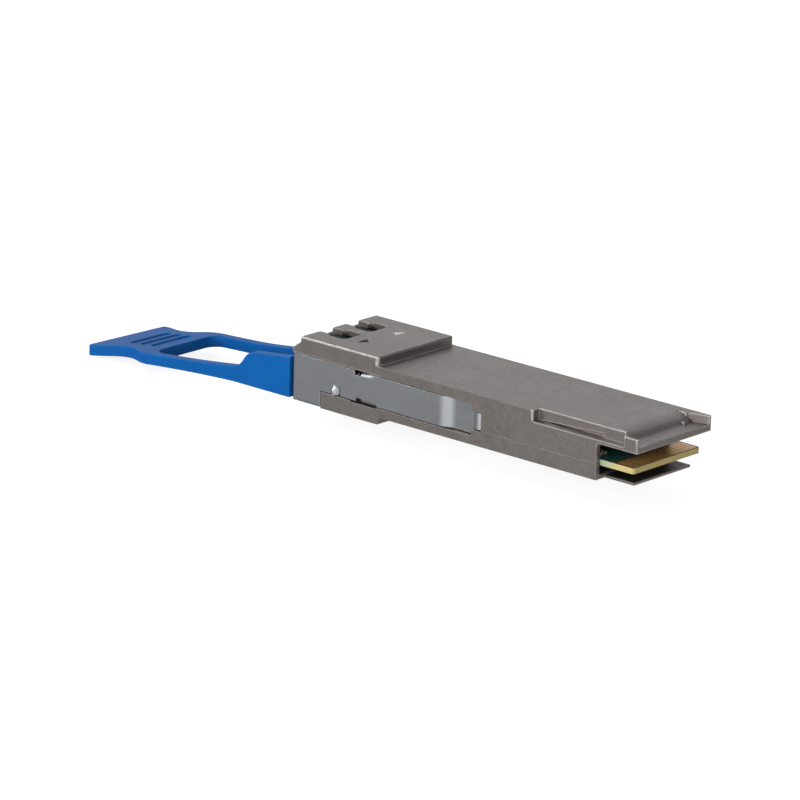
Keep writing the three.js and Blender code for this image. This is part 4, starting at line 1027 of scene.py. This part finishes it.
def studio():
    """Four soft lights and a world that is brighter from behind."""
    softbox("main", -30, 18, 800, (600, 300), 2.5)
    softbox("upper_edge", -65, 46, 700, (160, 160), 1.3)
    softbox("front_strip", 12, 6, 1000, (300, 120), 3.0)
    softbox("corner_strip", 50, 16, 1000, (900, 500), 2.6)
    world = bpy.data.worlds.new("studio")
    world.use_nodes = True
    tree = world.node_tree
    surface = tree.nodes["Background"]
    sky = tree.nodes.new("ShaderNodeTexCoord")
    toward = tree.nodes.new("ShaderNodeVectorMath")
    toward.operation = "DOT_PRODUCT"
    toward.inputs[1].default_value = direction(221, 25)
    glow = tree.nodes.new("ShaderNodeMapRange")
    glow.inputs["From Min"].default_value = 0.35
    glow.inputs["From Max"].default_value = 0.95
    glow.inputs["To Min"].default_value = 0.13
    glow.inputs["To Max"].default_value = 0.84
    seen = tree.nodes.new("ShaderNodeLightPath")
    strength = tree.nodes.new("ShaderNodeMath")
    strength.operation = "ADD"
    tree.links.new(sky.outputs["Generated"], toward.inputs[0])
    tree.links.new(toward.outputs["Value"], glow.inputs["Value"])
    tree.links.new(glow.outputs["Result"], strength.inputs[0])
    tree.links.new(seen.outputs["Is Camera Ray"], strength.inputs[1])
    tree.links.new(strength.outputs["Value"], surface.inputs["Strength"])
    surface.inputs["Color"].default_value = (0.96, 0.97, 1.0, 1.0)
    bpy.context.scene.world = world


def floor():
    """Pale floor that stays near white to the camera, with only a faint shadow."""
    size = 6000
    mesh = bpy.data.meshes.new("floor")
    z = (LOWEST - 0.05) * MM
    corners = [(-size, -size), (size, -size), (size, size), (-size, size)]
    mesh.from_pydata([(x * MM, y * MM, z) for x, y in corners], [], [(0, 1, 2, 3)])
    obj = bpy.data.objects.new("floor", mesh)
    bpy.context.scene.collection.objects.link(obj)
    n = Nodes("pale_floor")
    n.finish((0.38, 0.38, 0.38), 0.9)
    seen = n.add("ShaderNodeLightPath")
    from_where = n.add("ShaderNodeVectorMath", operation="DOT_PRODUCT")
    n.link(n.add("ShaderNodeNewGeometry").outputs["Incoming"], from_where.inputs[0])
    from_where.inputs[1].default_value = -direction(60, 0)
    # Painted reflection: glossy rays see the floor as a glow whose strength depends on the ray's direction,
    # standing in for the studio around it.
    painted_reflection = n.add("ShaderNodeEmission")
    n.link(n.ramp(from_where.outputs["Value"], -0.2, 0.6, 0.27, 0.95), painted_reflection.inputs["Strength"])
    glow = n.add("ShaderNodeEmission")
    glow.inputs["Strength"].default_value = 0.85
    both = n.add("ShaderNodeAddShader")
    n.link(n.shader.outputs["BSDF"], both.inputs[0])
    n.link(glow.outputs["Emission"], both.inputs[1])
    glossy = n.add("ShaderNodeMixShader")
    n.link(seen.outputs["Is Glossy Ray"], glossy.inputs["Fac"])
    n.link(n.shader.outputs["BSDF"], glossy.inputs[1])
    n.link(painted_reflection.outputs["Emission"], glossy.inputs[2])
    pick = n.add("ShaderNodeMixShader")
    n.link(seen.outputs["Is Camera Ray"], pick.inputs["Fac"])
    n.link(glossy.outputs["Shader"], pick.inputs[1])
    n.link(both.outputs["Shader"], pick.inputs[2])
    n.link(pick.outputs["Shader"], n.tree.nodes["Material Output"].inputs["Surface"])
    mesh.materials.append(n.material)


# ---------------------------------------------------------------- carried-over CAD nodes

def paint_cad_nodes():
    """Gives each visible CAD node its material and rounds its edges."""
    finishes = {
        "housing": (nickel_casting(), 0.07),
        "receptacle": (slate_plastic(), 0.08),
        "ceramic": (zirconia(), 0.04),
        "gasket": (conductive_elastomer(), 0.06),
        "gold_plate": (GOLD, 0.08),
        "clamp_sheet": (stamped_spring_sheet(), 0.05),
        "flex_film": (polyimide_film(), 0.02),
        "board": (solder_mask_board(), 0.05),
        "chip_package": (moulded_epoxy(), 0.06),
        "thermal_pad": (filled_silicone(), 0.1),
        "screw_steel": (black_nickel(), 0.06),
        "label_film": (label_film(), 0.02),
        "component_ceramic": (oscillator_lid(), 0.03),
    }
    slots = {part["node"]: part["material_slot"] for part in frame["record"]["subparts"]}
    for name, obj in frame["nodes"].items():
        if obj.hide_render:
            continue
        material, width = finishes[slots[name]]
        if name.startswith("filter_capacitor"):
            lo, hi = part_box(name)
            material = fired_ceramic((lo.x + hi.x) / 2 / MM)
        obj.data.materials.clear()
        obj.data.materials.append(material)
        prepare_cad_node(obj, width)


GOLD = hard_gold()
WIRE = drawn_wire()
pull_tab(moulded_blue())
latch_slider(rolled_sheet())
return_spring(-1, "return_coil_left", "return_spring_left", WIRE)
return_spring(1, "return_coil_right", "return_spring_right", WIRE)
for row_name in ("edge_contacts_top", "edge_contacts_bottom"):
    low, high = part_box(row_name)
    contact_row(row_name.replace("edge_contacts", "card_contacts"), row_name, low.z / MM, high.z / MM, GOLD)
paint_cad_nodes()
floor()
studio()
place_camera()
bpy.context.scene.view_settings.view_transform = "Standard"
